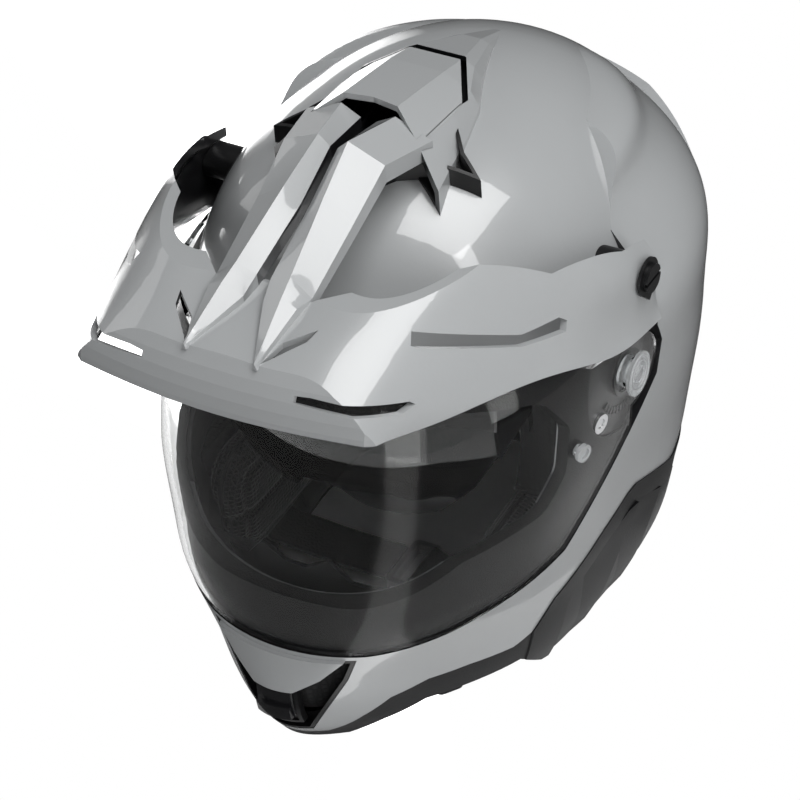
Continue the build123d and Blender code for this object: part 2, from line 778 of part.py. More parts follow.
def make_crown_pad():
    region = slab(liner_split_height + seam, body_height) - eye_window() - visor_pocket()
    return (head(comfort_wall) - head(0)) & region


def rounded_profile(x, shrink):
    length = cheek_back_y - cheek_front_y - 2 * shrink
    height = liner_split_height - seam - cheek_low_z - 2 * shrink
    middle = ((cheek_back_y + cheek_front_y) / 2, (liner_split_height - seam + cheek_low_z) / 2)
    corner = min(cheek_corner_radius, height * cheek_corner_share)
    return Plane.YZ.offset(x) * Pos(*middle) * RectangleRounded(length, height, corner)


def make_cheek_pad():
    """A cushion with drawn-in sides, a crowned face and one channel along it."""
    thick = cheek_outer_x - cheek_inner_x
    pad = loft(
        [
            rounded_profile(cheek_outer_x - thick * depth_share, thick * shrink_share)
            for depth_share, shrink_share in CHEEK_CROWN_SHARES
        ]
    )
    middle_z = (liner_split_height + cheek_low_z) / 2
    channel = block(
        cheek_inner_x - seam, cheek_inner_x + cheek_channel_depth, cheek_front_y, cheek_back_y,
        middle_z - cheek_channel_width / 2, middle_z + cheek_channel_width / 2,
    )
    return (pad - channel) & body(-trim_depth - cheek_rim_gap)


def make_neck_roll():
    """Padded roll round the back of the neck, crowned on its inner side."""
    low = seam
    high = neck_roll_height
    hole = []
    for share, crown in NECK_CROWN_SHARES:
        grow = neck_roll_crown * crown
        hole.append(
            level_outline(
                low + (high - low) * share, neck_hole_half_width + grow, mouth_front_reach + grow,
                neck_hole_back_y + grow, head_centre_y, mouth_front_power, mouth_back_power,
            )
        )
    region = block(-prism_reach, prism_reach, neck_roll_front_y, prism_reach * 2, low, high)
    return (body(-trim_depth - seam) & region) - Solid.make_loft(hole)


def make_chin_curtain():
    region = slab(curtain_height, curtain_height + curtain_wall) & block(
        -prism_reach, prism_reach, -body_front_reach, curtain_back_y, 0, body_height
    )
    return body(-trim_depth - seam) & region


def chin_outline(shares, margin=0.0):
    points = [(x * chin_vent_half_width, chin_vent_top - (1 - z) * chin_vent_height) for x, z in shares]
    return grown(outline(mirrored(points)), margin)


def shutter_zone(margin, reach=0.0):
    top = chin_vent_top - (1 - shutter_top_share) * chin_vent_height
    return outline([
        (-shutter_half_width - margin, top + margin), (shutter_half_width + margin, top + margin),
        (shutter_half_width + margin, top - shutter_height - margin - reach),
        (-shutter_half_width - margin, top - shutter_height - margin - reach),
    ])


def make_chin_frame():
    """Black frame in the shell's chin hole, with slots either side of a middle web."""
    face = frontward(chin_outline(CHIN_FRAME_SHARES, -seam), -mouth_back_reach)
    frame = layer(-seam, -shell_wall, face)
    slots = chin_outline(CHIN_FRAME_SHARES, -chin_slot_rim)
    slots -= chin_outline(CHIN_COVER_SHARES, -chin_slot_rim)
    slots -= shutter_zone(chin_slot_rim, shutter_travel)
    frame -= frontward(slots, -mouth_back_reach)
    travel_zone = frontward(shutter_zone(seam, shutter_travel), -mouth_back_reach)
    return frame - layer(cut_over, -chin_seat, travel_zone) - below_trim


def make_chin_cover():
    face = frontward(chin_outline(CHIN_COVER_SHARES), -mouth_back_reach)
    cover = layer(chin_vent_proud, 0, face)
    return cover - across(grown(side_outline(CHIN_COVER_TOP_SHARES), seam))


def make_chin_shutter():
    face = frontward(shutter_zone(0), -mouth_back_reach)
    block_face = layer(shutter_proud, -chin_seat + shutter_play, face)
    top = chin_vent_top - (1 - shutter_top_share) * chin_vent_height
    upper = frontward(shutter_zone(seam), -mouth_back_reach) & slab(top - shutter_height / 2, top + seam)
    return block_face - layer(cut_over, shutter_proud / 2, upper)


def make_louvres():
    """Arched bar behind the chin bar with a row of upright openings that feed the shield."""
    low, high = chin_liner_top + seam, chin_liner_top + seam + louvre_height
    outer = -port_recess - shell_wall - seam
    sides = block(-louvre_half_width, louvre_half_width, -body_front_reach, cheek_front_y, low, high)
    bar = layer(outer, outer - louvre_depth, sides)
    inner_half = louvre_half_width - louvre_wall
    inner_sides = block(
        -inner_half, inner_half, -body_front_reach, cheek_front_y, low + louvre_wall, high + louvre_wall
    )
    groove = layer(outer - louvre_wall, outer - louvre_depth + louvre_wall, inner_sides)
    pitch = 2 * inner_half / louvre_count
    for i in range(1, louvre_count):
        x = -inner_half + i * pitch
        groove -= block(
            x - louvre_fin / 2, x + louvre_fin / 2,
            -body_front_reach, cheek_front_y, low, high + louvre_height,
        )
    return bar - groove


def make_breath_guard():
    """Nose deflector that stands on the louvre bar and leans towards the shield."""
    low, high = chin_liner_top + 2 * seam + louvre_height, guard_top_height
    points = [(x * louvre_half_width, low + z * (high - low)) for x, z in GUARD_SHARES]
    face = frontward(outline(mirrored(points)), cheek_front_y)
    outer, inner = (
        Solid.make_loft([
            body_level(low - seam, guard_foot_outset - wall),
            body_level(high + seam, guard_top_outset - wall),
        ])
        for wall in (0, guard_wall)
    )
    return (outer & face) - inner


def in_plan(shares, half_width):
    """Points of a plan view outline, x as shares of a half width and y of the body's front reach."""
    return [(x * half_width, y * body_front_reach) for x, y in shares]


def upright(plan, low, high):
    """A plan view outline raised between two heights."""
    return extrude(Plane.XY.offset(low) * plan, amount=high - low)


def vent_form(outset):
    """Faceted cap over the dome's front, grown outwards by outset, its sides taken down into the dome."""
    widest = VENT_SECTION_SHARES[0][1][0] * dome_half_width
    low = vent_foot_share * body_height
    sections = []
    for y, *corners in VENT_SECTION_SHARES:
        spread = dome_half_width * (widest + outset) / widest
        half = [(x * spread, z * body_height + outset) for x, z in corners]
        half = [(half[0][0], low)] + half
        points = half + [(-x, z) for x, z in reversed(half)]
        sections.append(Wire(Polyline(*[(x, y * body_front_reach, z) for x, z in points], close=True)))
    front = in_plan(VENT_FRONT_SHARES, dome_half_width)
    back = [(front[-1][0], body_back_reach), (0, body_back_reach)]
    plan = outline(front + back) + mirror(outline(front + back), about=Plane.YZ)
    return Solid.make_loft(sections, ruled=True) & upright(plan, low, body_height + cut_over)


def vent_tongue(back_travel=0.0):
    """Plan outline of the sliding tongue, stretched backwards by its travel."""
    half = in_plan(VENT_TONGUE_SHARES, dome_half_width)
    half = half[:1] + [(x, y + back_travel) for x, y in half[1:]]
    return outline(half + [(-x, y) for x, y in reversed(half)])


def make_vent_housing():
    housing = vent_form(0) - vent_form(-vent_wall) - dome(0)
    slot = grown(vent_tongue(vent_slider_travel), vent_gap)
    return housing - upright(slot, vent_tongue_low_share * body_height, prism_reach * 2)


def make_vent_slider():
    tongue = upright(vent_tongue(), vent_tongue_low_share * body_height + vent_gap, prism_reach * 2)
    return (vent_form(0) - vent_form(-vent_wall)) & tongue


def make_duct():
    """Black air inlet: a floor under the vent, a ribbed mouth before it and a lip under its edge."""
    roof = vent_form(-vent_wall - seam)
    floor = (roof & dome(duct_floor_wall)) - dome(seam)
    plan = outline(in_plan(DUCT_PLAN_SHARES, dome_half_width))
    plan += mirror(plan, about=Plane.YZ)
    mouth = upright(plan, vent_foot_share * body_height, body_height + cut_over)
    inlet = (mouth & dome(duct_rise)) - dome(seam) - vent_form(seam)
    inlet += (mouth & dome(duct_rise) & roof) - dome(seam)
    throats = upright(grown(plan, -duct_rib_wall), 0, prism_reach * 2) & dome(duct_rise + cut_over)
    throats -= dome(duct_floor_wall)
    for i in range(duct_rib_count):
        x = (i - (duct_rib_count - 1) / 2) * duct_rib_pitch
        throats -= block(
            x - duct_rib_wall / 2, x + duct_rib_wall / 2, -body_front_reach, 0, 0, prism_reach * 2
        )
    return floor + (inlet - throats)


def peak_section(row, inset):
    """Arched cross-section of the peak, drawn in by inset, with an open foot when drawn in."""
    share, foot, bulge, edge, inner, crown = row
    y = share * body_front_reach

    def place(pair, dx, dz):
        return Vector(pair[0] * peak_half_width - dx * inset, y, pair[1] * body_height - dz * inset)

    half = [place(corner, *lean) for corner, lean in zip((foot, bulge, edge, inner), PEAK_NORMAL_SHARES)]
    top = place((0, crown), 0, 1)
    points = half + [top] + [Vector(-p.X, p.Y, p.Z) for p in reversed(half)]
    steps = [i / (len(points) - 1) for i in range(len(points))]
    arch = Edge.make_spline(points, parameters=steps)
    drop = Vector(0, 0, -cut_over if inset else -seam)
    foot_line = [points[-1], points[-1] + drop, points[0] + drop, points[0]]
    return Wire([arch, *(Edge.make_line(*pair) for pair in zip(foot_line, foot_line[1:]))])


def peak_lip(inset):
    """Block whose curved front rolls back from the lip's edge and cuts the peak to length."""
    levels = [(0, 0)]
    for i in range(peak_lip_steps + 1):
        rise = peak_lip_round * i / peak_lip_steps
        levels.append((peak_lip_height + rise, peak_lip_round - math.sqrt(peak_lip_round**2 - rise**2)))
    sections = []
    for z, back in levels:
        shift = inset + back
        plan = [(x * peak_half_width, y * body_front_reach + shift) for x, y in PEAK_PLAN_SHARES]
        points = [Vector(x, y, z) for x, y in plan]
        other = [Vector(-x, y, z) for x, y in plan]
        front = Edge.make_three_point_arc(points[-1], Vector(0, -peak_lip_reach + shift, z), other[-1])
        sides = [Edge.make_line(*pair) for pair in zip(points, points[1:])]
        far = [Edge.make_line(*pair) for pair in zip(other[::-1], other[::-1][1:])]
        sections.append(Wire([*sides, front, *far, Edge.make_line(other[0], points[0])]))
    return Solid.make_loft(sections, ruled=True)


def peak_form(inset):
    return Solid.make_loft([peak_section(row, inset) for row in PEAK_SECTION_SHARES]) & peak_lip(inset)


def peak_screw_hole(low=0.0):
    """Clearance hole for the peak's screw, from low outwards along X."""
    return across_pin(peak_screw_y, peak_screw_z, peak_screw_radius / 2 + fit_gap, low, prism_reach)


def make_strut():
    sections = []
    for share, *corners in STRUT_SECTION_SHARES:
        points = [(x * peak_half_width, share * body_front_reach, z * body_height) for x, z in corners]
        sections.append(Wire(Polyline(*points, close=True)))
    return Solid.make_loft(sections, ruled=True)


@lru_cache(maxsize=None)
def make_peak():
    peak = peak_form(0) - peak_form(peak_wall)
    plan = [(x * peak_half_width, y * body_front_reach) for x, y in PEAK_OPENING_SHARES]
    opening = outline(plan) + mirror(outline(plan), about=Plane.YZ)
    peak -= extrude(Plane.XY * opening, amount=body_height + cut_over)
    nose_slot = outline(in_plan(PEAK_NOSE_SLOT_SHARES, peak_half_width))
    cuts = upright(nose_slot, vent_foot_share * body_height, body_height + cut_over)
    for shares in (PEAK_LONG_SLOT_SHARES, PEAK_SHORT_SLOT_SHARES):
        cuts += across(side_outline(shares), peak_slot_depth_share * peak_half_width, prism_reach)
    peak -= cuts
    peak -= right_of(cuts)
    strut = make_strut()
    peak += strut + right_of(strut)
    peak -= vent_form(seam)
    return peak - peak_screw_hole(-prism_reach)


def peak_side():
    """Outer face of the peak's arm at its screw."""
    return peak_half_width * PEAK_SECTION_SHARES[0][2][0]


def make_peak_screw():
    face = peak_side() + peak_plate_wall
    foot = face - peak_plate_wall - peak_wall * 2
    head = across_pin(peak_screw_y, peak_screw_z, peak_screw_radius, face, face + peak_screw_head)
    shank = across_pin(peak_screw_y, peak_screw_z, peak_screw_radius / 2, foot, face)
    slot = block(
        face + peak_screw_head / 2, prism_reach,
        peak_screw_y - peak_screw_radius, peak_screw_y + peak_screw_radius,
        peak_screw_z - peak_plate_wall / 2, peak_screw_z + peak_plate_wall / 2,
    )
    return head + shank - slot


def make_peak_plate():
    """Teardrop washer under the peak's screw."""
    disc = circle_at(peak_screw_y, peak_screw_z, peak_plate_radius)
    half_tail = math.sqrt(peak_plate_radius**2 - peak_tail_drop**2)
    tail = outline([
        (peak_screw_y - half_tail, peak_screw_z - peak_tail_drop),
        (peak_screw_y + half_tail, peak_screw_z - peak_tail_drop),
        (peak_screw_y, peak_screw_z - peak_plate_tail),
    ])
    plate = across(disc + tail, peak_side() + seam / 2, peak_side() + peak_plate_wall)
    plate -= peak_form(0)
    return plate - peak_screw_hole()


def make_peak_mount():
    """Boss on the shell that the peak's screw goes into."""
    boss = across_pin(peak_screw_y, peak_screw_z, peak_mount_radius, dome_half_width / 2, peak_side())
    boss = (boss & peak_form(peak_wall + seam)) - painted_form(0)
    return boss - peak_screw_hole()


@lru_cache(maxsize=None)
def make_spoiler():
    points = [(x * body_half_width, z * body_height) for x, z in SPOILER_SHARES]
    face = outline(points) + mirror(outline(points), about=Plane.YZ)
    return layer(spoiler_proud, 0, rearward(face, body_centre_y)) - dome(0)


def make_exhaust():
    points = [(x * body_half_width, z * body_height) for x, z in EXHAUST_SHARES]
    face = outline(points) + mirror(outline(points), about=Plane.YZ)
    return layer(spoiler_proud / 2, 0, rearward(face, body_centre_y)) - dome(0)


def make_strap():
    """Webbing from the rim's inner side to the middle of the neck opening, under its own weight."""
    side = body_side(strap_y, strap_height, -trim_depth) - 2 * seam
    low = strap_height - strap_sag
    points = [
        (side, strap_top), (side, strap_height),
        (side * strap_bend_share, low), (side * strap_end_share, low),
    ]
    back = [(x - strap_wall * (i < 2), z + strap_wall * (i > 0)) for i, (x, z) in enumerate(points)]
    face = Plane.XZ.offset(-(strap_y + strap_width / 2)) * outline(points + back[::-1])
    return extrude(face, amount=strap_width) & body(-trim_depth - seam)


def slider_place():
    """Middle of the slider's travel on the rim's underside."""
    z = RIM_ARCH_SHARES[4][1] * body_height
    return body_side(slider_y, z, -trim_depth / 2), z


def slider_bar(length, width, low, high, ahead_of_middle=0.0):
    """A round-ended bar along the rim at the slider's place."""
    x, z = slider_place()
    ahead = body_side(slider_y - slider_length, z, -trim_depth / 2)
    turn = math.degrees(math.atan2(x - ahead, slider_length))
    bar = Pos(-ahead_of_middle, 0) * SlotOverall(length, width)
    return extrude(Pos(x, slider_y, z + low) * Rot(0, 0, 90 - turn) * bar, amount=high - low)


def slider_slot():
    length = slider_length + slider_travel + 2 * seam
    return slider_bar(length, slider_width / 2 + 2 * seam, -cut_over / 2, slider_slot_depth)


def make_slider():
    """Thumb slider under the left rim, with a tongue in the rim's slot."""
    start = slider_travel / 2
    tongue_length = slider_length - slider_width / 2
    tongue = slider_bar(tongue_length, slider_width / 2, -rim_drop, slider_slot_depth - seam, start)
    knob = slider_bar(slider_length, slider_width, -rim_drop - slider_knob, -rim_drop, start)
    return tongue + knob


def strap_end():
    """Middle of the strap's inner end: its distance from the middle plane and its height."""
    side = body_side(strap_y, strap_height, -trim_depth) - 2 * seam
    return side * strap_end_share, strap_height - strap_sag + strap_wall / 2


def ring_plan(x, z, length, width, corner):
    """A rounded plate across the strap, square to its end."""
    face = Pos(x, strap_y, z) * RectangleRounded(length, width, corner)
    return extrude(face, ring_wire / 2, both=True)


def make_strap_loop():
    """The strap's end, folded round the bars of both rings."""
    x, z = strap_end()
    length = ring_wire + 2 * seam
    height = 2 * ring_wire + 3 * seam
    middle = x - length / 2 - strap_wall
    outer = Pos(middle, strap_y, z) * Box(length + 2 * strap_wall, strap_width, height + 2 * strap_wall)
    return outer - Pos(middle, strap_y, z) * Box(length, strap_width + cut_over, height)


def make_rings():
    """Two steel rings on the end of the left strap, one over the other."""
    x, z = strap_end()
    bar_edge = x - strap_wall - seam
    middle = bar_edge - ring_length / 2
    rings = []
    for side in (-1, 1):
        level = z + side * (ring_wire + seam) / 2
        width = strap_width + 2 * ring_corner
        outer = ring_plan(middle, level, ring_length, width + 2 * ring_wire, ring_wire)
        inner = ring_plan(middle, level, ring_length - 2 * ring_wire, width, ring_corner)
        rings.append(outer - inner)
    return rings


def make_rivet():
    """Round rivet that holds the strap's end to the rim."""
    x = body_side(strap_y, strap_height, -trim_depth) - 2 * seam - strap_wall
    return across_pin(strap_y, strap_top - rivet_radius, rivet_radius, x - rivet_head, x)


NODES = {}


@lru_cache(maxsize=None)
def frame_shift():
    """Puts the origin midway between the peak's lip and the rear spoiler."""
    return -(make_peak().bounding_box().min.Y + make_spoiler().bounding_box().max.Y) / 2


def keep(name, *parts):
    """Move one named piece to the helmet's frame and write it."""
    solids = []
    for part in parts:
        moved = Pos(0, frame_shift(), 0) * part
        solids += moved.solids()
    NODES[name] = solids[0] if len(solids) == 1 else Compound(solids)
    export_step(NODES[name], f"parts/{name}.step")


def keep_pair(name, part):
    """Write a left piece and its mirror image as two nodes."""
    keep(name + "_left", part)
    keep(name + "_right", right_of(part))


def build_shell():
    keep("outer_shell", make_outer_shell())
    keep("eye_port_gasket", make_gasket())
    keep("lower_rim_trim", make_rim_trim() - slider_slot())
    keep_pair("skirt_frame", make_skirt_frame())
    keep_pair("skirt_panel", make_skirt_panel())


def build_liners():
    keep("eps_crown", make_eps_crown())
    keep("eps_chin", make_eps_chin())
    keep_pair("eps_cheek", make_eps_cheek())
    keep("crown_pad", make_crown_pad())
    keep_pair("cheek_pad", make_cheek_pad())
    keep("neck_roll", make_neck_roll())
    keep("chin_curtain", make_chin_curtain())


def build_shield():
    keep_pair("shield_base_plate", make_base_plate())
    screw = make_plate_screw()
    keep("base_plate_screws", screw, right_of(screw))
    keep_pair("shield_pivot_cap", make_pivot_cap())
    keep("face_shield", make_shield())
    pin = make_lens_pin()
    keep("lens_pins", pin, right_of(pin))


def build_sun_visor():
    keep("sun_visor", make_sun_visor())
    arm, pin = make_visor_arm(), make_visor_pin()
    keep("sun_visor_arms", arm, right_of(arm))
    keep("sun_visor_pins", pin, right_of(pin))
    keep("sun_visor_slider", make_slider())


def build_vents():
    keep("chin_vent_frame", make_chin_frame())
    keep("chin_vent_cover", make_chin_cover())
    keep("chin_vent_shutter", make_chin_shutter())
    keep("demist_louvres", make_louvres())
    keep("breath_guard", make_breath_guard())
    keep("top_vent_housing", make_vent_housing())
    keep("top_vent_slider", make_vent_slider())
    keep("top_vent_duct", make_duct())
    keep("rear_spoiler", make_spoiler())
    keep("rear_exhaust", make_exhaust())


def build_peak():
    keep("peak", make_peak())
    keep_pair("peak_screw", make_peak_screw())
    keep_pair("peak_plate", make_peak_plate())
    keep_pair("peak_mount", make_peak_mount())


def build_straps():
    strap = make_strap()
    keep("chin_strap_left", strap + make_strap_loop())
    keep("chin_strap_right", right_of(strap))
    keep("strap_rings", *make_rings())
    rivet = make_rivet()
    keep("strap_rivets", rivet, right_of(rivet))


os.makedirs("parts", exist_ok=True)
build_shell()
build_liners()
build_shield()
build_sun_visor()
build_vents()
build_peak()
build_straps()
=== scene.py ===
# %% [markdown]
# The frame. The rigid pieces of this helmet were drawn in a CAD program, so this lesson starts by
# loading them and leaves every one where it is. What is added here is what a CAD solid does not have:
# paint, moulded grain, cloth, stitching and light.

# %% Load the helmet's solids
import json
import math

import bmesh
import bpy
from mathutils import Matrix, Vector
from mathutils.bvhtree import BVHTree


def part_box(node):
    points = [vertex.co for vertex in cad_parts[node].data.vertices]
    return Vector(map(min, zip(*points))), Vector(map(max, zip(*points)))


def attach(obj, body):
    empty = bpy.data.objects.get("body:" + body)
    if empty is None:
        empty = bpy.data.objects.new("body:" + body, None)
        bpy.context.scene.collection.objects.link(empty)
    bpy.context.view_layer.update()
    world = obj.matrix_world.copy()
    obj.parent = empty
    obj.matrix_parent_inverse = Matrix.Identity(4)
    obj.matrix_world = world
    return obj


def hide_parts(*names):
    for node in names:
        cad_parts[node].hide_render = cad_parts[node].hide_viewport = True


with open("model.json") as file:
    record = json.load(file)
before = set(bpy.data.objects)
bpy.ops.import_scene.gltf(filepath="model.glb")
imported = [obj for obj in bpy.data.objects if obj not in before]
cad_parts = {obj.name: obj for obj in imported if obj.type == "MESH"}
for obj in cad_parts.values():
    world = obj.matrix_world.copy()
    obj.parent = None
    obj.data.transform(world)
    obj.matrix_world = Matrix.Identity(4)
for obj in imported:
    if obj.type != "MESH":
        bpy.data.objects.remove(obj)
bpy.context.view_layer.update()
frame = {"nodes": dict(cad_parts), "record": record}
print("solids loaded:", len(frame["nodes"]))

# How far the dome's middle lies behind the middle of the whole helmet, in metres. The strap hangs 34 mm
# ahead of the dome's middle, so its rings tell where that is.
STRAP_AHEAD = 0.034
HEAD_SHIFT = (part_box("strap_rings")[0][1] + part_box("strap_rings")[1][1]) / 2 + STRAP_AHEAD
print("head shift", round(HEAD_SHIFT, 5))

# %% [markdown]
# The camera comes before the looks, because every later choice is judged through it. The photograph was
# taken from high on the helmet's left front with a long lens, slightly rolled. A long lens keeps the
# peak from swelling, so the camera stands 1.75 metres away with a narrow view.

# %% Camera at the photograph's viewpoint
PHOTO_PX = 800
SENSOR_MM = 36.0
FOCAL_PX = 3671.94
CENTRE_SHIFT_PX = (-5.14, -3.92)
TURN_TILT_ROLL_DEG = (31.76, 38.66, -4.59)
AIM_FROM_DOME = (-0.00001, -0.02917, 0.1138)
CAMERA_DISTANCE = 1.74787

camera_data = bpy.data.cameras.new("photo_camera")
camera_data.sensor_width = SENSOR_MM
camera_data.lens = FOCAL_PX * SENSOR_MM / PHOTO_PX
camera_data.shift_x = CENTRE_SHIFT_PX[0] / PHOTO_PX
camera_data.shift_y = CENTRE_SHIFT_PX[1] / PHOTO_PX
camera_data.clip_start = 0.05
camera_data.clip_end = 20.0
camera = bpy.data.objects.new("photo_camera", camera_data)
bpy.context.scene.collection.objects.link(camera)
turn, tilt, roll = (math.radians(v) for v in TURN_TILT_ROLL_DEG)
back = Vector((math.sin(turn) * math.cos(tilt), -math.cos(turn) * math.cos(tilt), math.sin(tilt)))
right = Vector((math.cos(turn), math.sin(turn), 0))
above = back.cross(right)
image_right = math.cos(roll) * right + math.sin(roll) * above
image_up = -math.sin(roll) * right + math.cos(roll) * above
aim_x, aim_y, aim_z = AIM_FROM_DOME
place = Vector((aim_x, aim_y + HEAD_SHIFT, aim_z)) + CAMERA_DISTANCE * back
pose = Matrix((image_right, image_up, back)).transposed().to_4x4()
pose.translation = place
camera.matrix_world = pose
bpy.context.scene.camera = camera
print("camera stands at", [round(v, 3) for v in place])

# %% [markdown]
# The studio. The photograph has a large soft light overhead and bright panels beside the helmet that
# draw white lines in the paint. Area lamps do both jobs: their size sets how soft a shadow is and how
# wide a reflection is. The world is white to the camera and a dim grey to everything else, so that the
# dark pieces stay dark.

# %% Lamps and world
HELMET_MIDDLE = (0.0, 0.0, 0.14)
# Each lamp's name, place, width, power in watts and, for a panel, its height
LAMPS = (
    ("overhead", (0.45, 0.05, 1.4), 0.9, 14.0, None),
    ("left_strip", (1.15, -0.35, 0.75), 0.25, 6.0, 1.3),
    ("right_fill", (-1.15, -0.2, 0.7), 1.0, 3.5, None),
    ("front_panel", (0.55, -1.25, 0.45), 0.5, 3.4, 0.88),
)
WORLD_GREY = (0.75, 0.76, 0.78, 1)
WORLD_STRENGTH = 0.15


def lamp(name, location, width, power, height=None):
    """An area lamp that points at the helmet."""
    data = bpy.data.lights.new(name, "AREA")
    data.energy = power
    data.size = width
    if height:
        data.shape = "RECTANGLE"
        data.size_y = height
    piece = bpy.data.objects.new(name, data)
    bpy.context.scene.collection.objects.link(piece)
    aim = Vector(HELMET_MIDDLE) - Vector(location)
    piece.matrix_world = Matrix.Translation(location) @ aim.to_track_quat("-Z", "Y").to_matrix().to_4x4()


for row in LAMPS:
    lamp(*row)

world = bpy.data.worlds.new("studio")
bpy.context.scene.world = world
world.use_nodes = True
sky = world.node_tree
sky.nodes["Background"].inputs["Color"].default_value = WORLD_GREY
sky.nodes["Background"].inputs["Strength"].default_value = WORLD_STRENGTH
bright = sky.nodes.new("ShaderNodeBackground")
bright.inputs["Color"].default_value = (1, 1, 1, 1)
bright.inputs["Strength"].default_value = 1.0
rays = sky.nodes.new("ShaderNodeLightPath")
mix = sky.nodes.new("ShaderNodeMixShader")
sky.links.new(rays.outputs["Is Camera Ray"], mix.inputs["Fac"])
sky.links.new(sky.nodes["Background"].outputs["Background"], mix.inputs[1])
sky.links.new(bright.outputs["Background"], mix.inputs[2])
sky.links.new(mix.outputs["Shader"], sky.nodes["World Output"].inputs["Surface"])

bpy.context.scene.view_settings.view_transform = "Standard"
print("lamps:", [row[0] for row in LAMPS])

# %% [markdown]
# The floor. It is white to the camera and through the clear shield, as the sweep in the photograph is,
# but it lights the helmet only as a plain white board would. A reflection sees something else in it: a
# dark floor with bright bands that run out from under the helmet like spokes, and these draw the long
# white lines on the shield's edge. The part under the helmet never glows, so that nothing shines up
# through the neck, and from below the floor is clear, so that the helmet can be looked at from there too.

# %% Floor
FLOOR_HALF = 3.0
# The helmet covers this ellipse of the floor: its half width, and how y is squeezed to make it round
FOOTPRINT_RADIUS = 0.12
FOOTPRINT_SQUEEZE = (1.0, 0.75, 0.0)
BAND_STRENGTH = 3.0
BAND_DARK = 0.02
# Places round the floor, as shares of a turn, and the band's grey there
BAND_STOPS = (
    (0.02, BAND_DARK), (0.28, BAND_DARK), (0.29, 0.8), (0.335, 0.8), (0.345, BAND_DARK), (0.55, 0.1),
    (0.7, BAND_DARK), (0.84, BAND_DARK), (0.86, 1.0), (0.9, 1.0), (0.91, BAND_DARK), (0.93, BAND_DARK),
    (0.94, 1.0), (0.97, 1.0), (0.98, BAND_DARK),
)


def new_object(name, mesh):
    """A mesh object at the origin, linked to the scene."""
    piece = bpy.data.objects.new(name, mesh)
    bpy.context.scene.collection.objects.link(piece)
    return piece


def mesh_from(name, bm):
    """Turns a bmesh into an object."""
    mesh = bpy.data.meshes.new(name)
    bm.to_mesh(mesh)
    bm.free()
    return new_object(name, mesh)


def join(kind, operation, first, second):
    """A maths node of the floor's material, fed by two outputs or numbers."""
    node = tree.nodes.new(kind)
    node.operation = operation
    for socket, source in zip(node.inputs, (first, second)):
        if isinstance(source, bpy.types.NodeSocket):
            tree.links.new(source, socket)
        else:
            socket.default_value = source
    return node


bm = bmesh.new()
bmesh.ops.create_grid(bm, x_segments=1, y_segments=1, size=FLOOR_HALF)
floor = mesh_from("floor", bm)
floor_paint = bpy.data.materials.new("floor_white")
floor_paint.use_nodes = True
tree = floor_paint.node_tree
tree.nodes["Principled BSDF"].inputs["Base Color"].default_value = (0.8, 0.8, 0.8, 1)
tree.nodes["Principled BSDF"].inputs["Roughness"].default_value = 0.9
coords = tree.nodes.new("ShaderNodeTexCoord")
flat = join("ShaderNodeVectorMath", "MULTIPLY", coords.outputs["Object"], FOOTPRINT_SQUEEZE)
away = join("ShaderNodeVectorMath", "LENGTH", flat.outputs["Vector"], (0, 0, 0))
outside = join("ShaderNodeMath", "GREATER_THAN", away.outputs["Value"], FOOTPRINT_RADIUS)
round_floor = tree.nodes.new("ShaderNodeTexGradient")
round_floor.gradient_type = "RADIAL"
tree.links.new(coords.outputs["Object"], round_floor.inputs["Vector"])
bands = tree.nodes.new("ShaderNodeValToRGB")
tree.links.new(round_floor.outputs["Fac"], bands.inputs["Fac"])
stops = bands.color_ramp.elements
for stop, position in zip(stops, (0.0, 1.0)):
    stop.position = position
    stop.color = (BAND_DARK, BAND_DARK, BAND_DARK, 1)
for position, grey in BAND_STOPS:
    stop = stops.new(position)
    stop.color = (grey, grey, grey, 1)
rays = tree.nodes.new("ShaderNodeLightPath")
bent, mirrored = rays.outputs["Is Transmission Ray"], rays.outputs["Is Glossy Ray"]
through = join("ShaderNodeMath", "MULTIPLY", bent, outside.outputs["Value"])
# A ray that bends through a pane counts as a glossy one too, so it is taken off the reflected ones
bounced = join("ShaderNodeMath", "SUBTRACT", mirrored, bent)
bounced = join("ShaderNodeMath", "MULTIPLY", bounced.outputs["Value"], outside.outputs["Value"])
seen = join("ShaderNodeMath", "MAXIMUM", rays.outputs["Is Camera Ray"], through.outputs["Value"])
band_light = join("ShaderNodeMath", "MULTIPLY", bands.outputs["Color"], BAND_STRENGTH)
level = join("ShaderNodeMath", "MAXIMUM", seen.outputs["Value"], band_light.outputs["Value"])
seen = join("ShaderNodeMath", "MAXIMUM", seen.outputs["Value"], bounced.outputs["Value"])
glow = tree.nodes.new("ShaderNodeEmission")
glow.inputs["Color"].default_value = (1, 1, 1, 1)
tree.links.new(level.outputs["Value"], glow.inputs["Strength"])
mix = tree.nodes.new("ShaderNodeMixShader")
tree.links.new(seen.outputs["Value"], mix.inputs["Fac"])
tree.links.new(tree.nodes["Principled BSDF"].outputs["BSDF"], mix.inputs[1])
tree.links.new(glow.outputs["Emission"], mix.inputs[2])
facing = tree.nodes.new("ShaderNodeNewGeometry")
clear = tree.nodes.new("ShaderNodeBsdfTransparent")
below = tree.nodes.new("ShaderNodeMixShader")
tree.links.new(facing.outputs["Backfacing"], below.inputs["Fac"])
tree.links.new(mix.outputs["Shader"], below.inputs[1])
tree.links.new(clear.outputs["BSDF"], below.inputs[2])
tree.links.new(below.outputs["Shader"], tree.nodes["Material Output"].inputs["Surface"])
floor.data.materials.append(floor_paint)
print("floor:", len(BAND_STOPS), "stops in its reflected bands")

# %% [markdown]
# Shared surface effects. Real paint is never perfectly even, moulded plastic carries a fine grain and
# sports cloth has small open cells, and each effect is needed in several materials. A node group holds
# each one: it is built once, takes a size and a strength, and gives out a mask or a height that the
# material plugs in where it needs it.

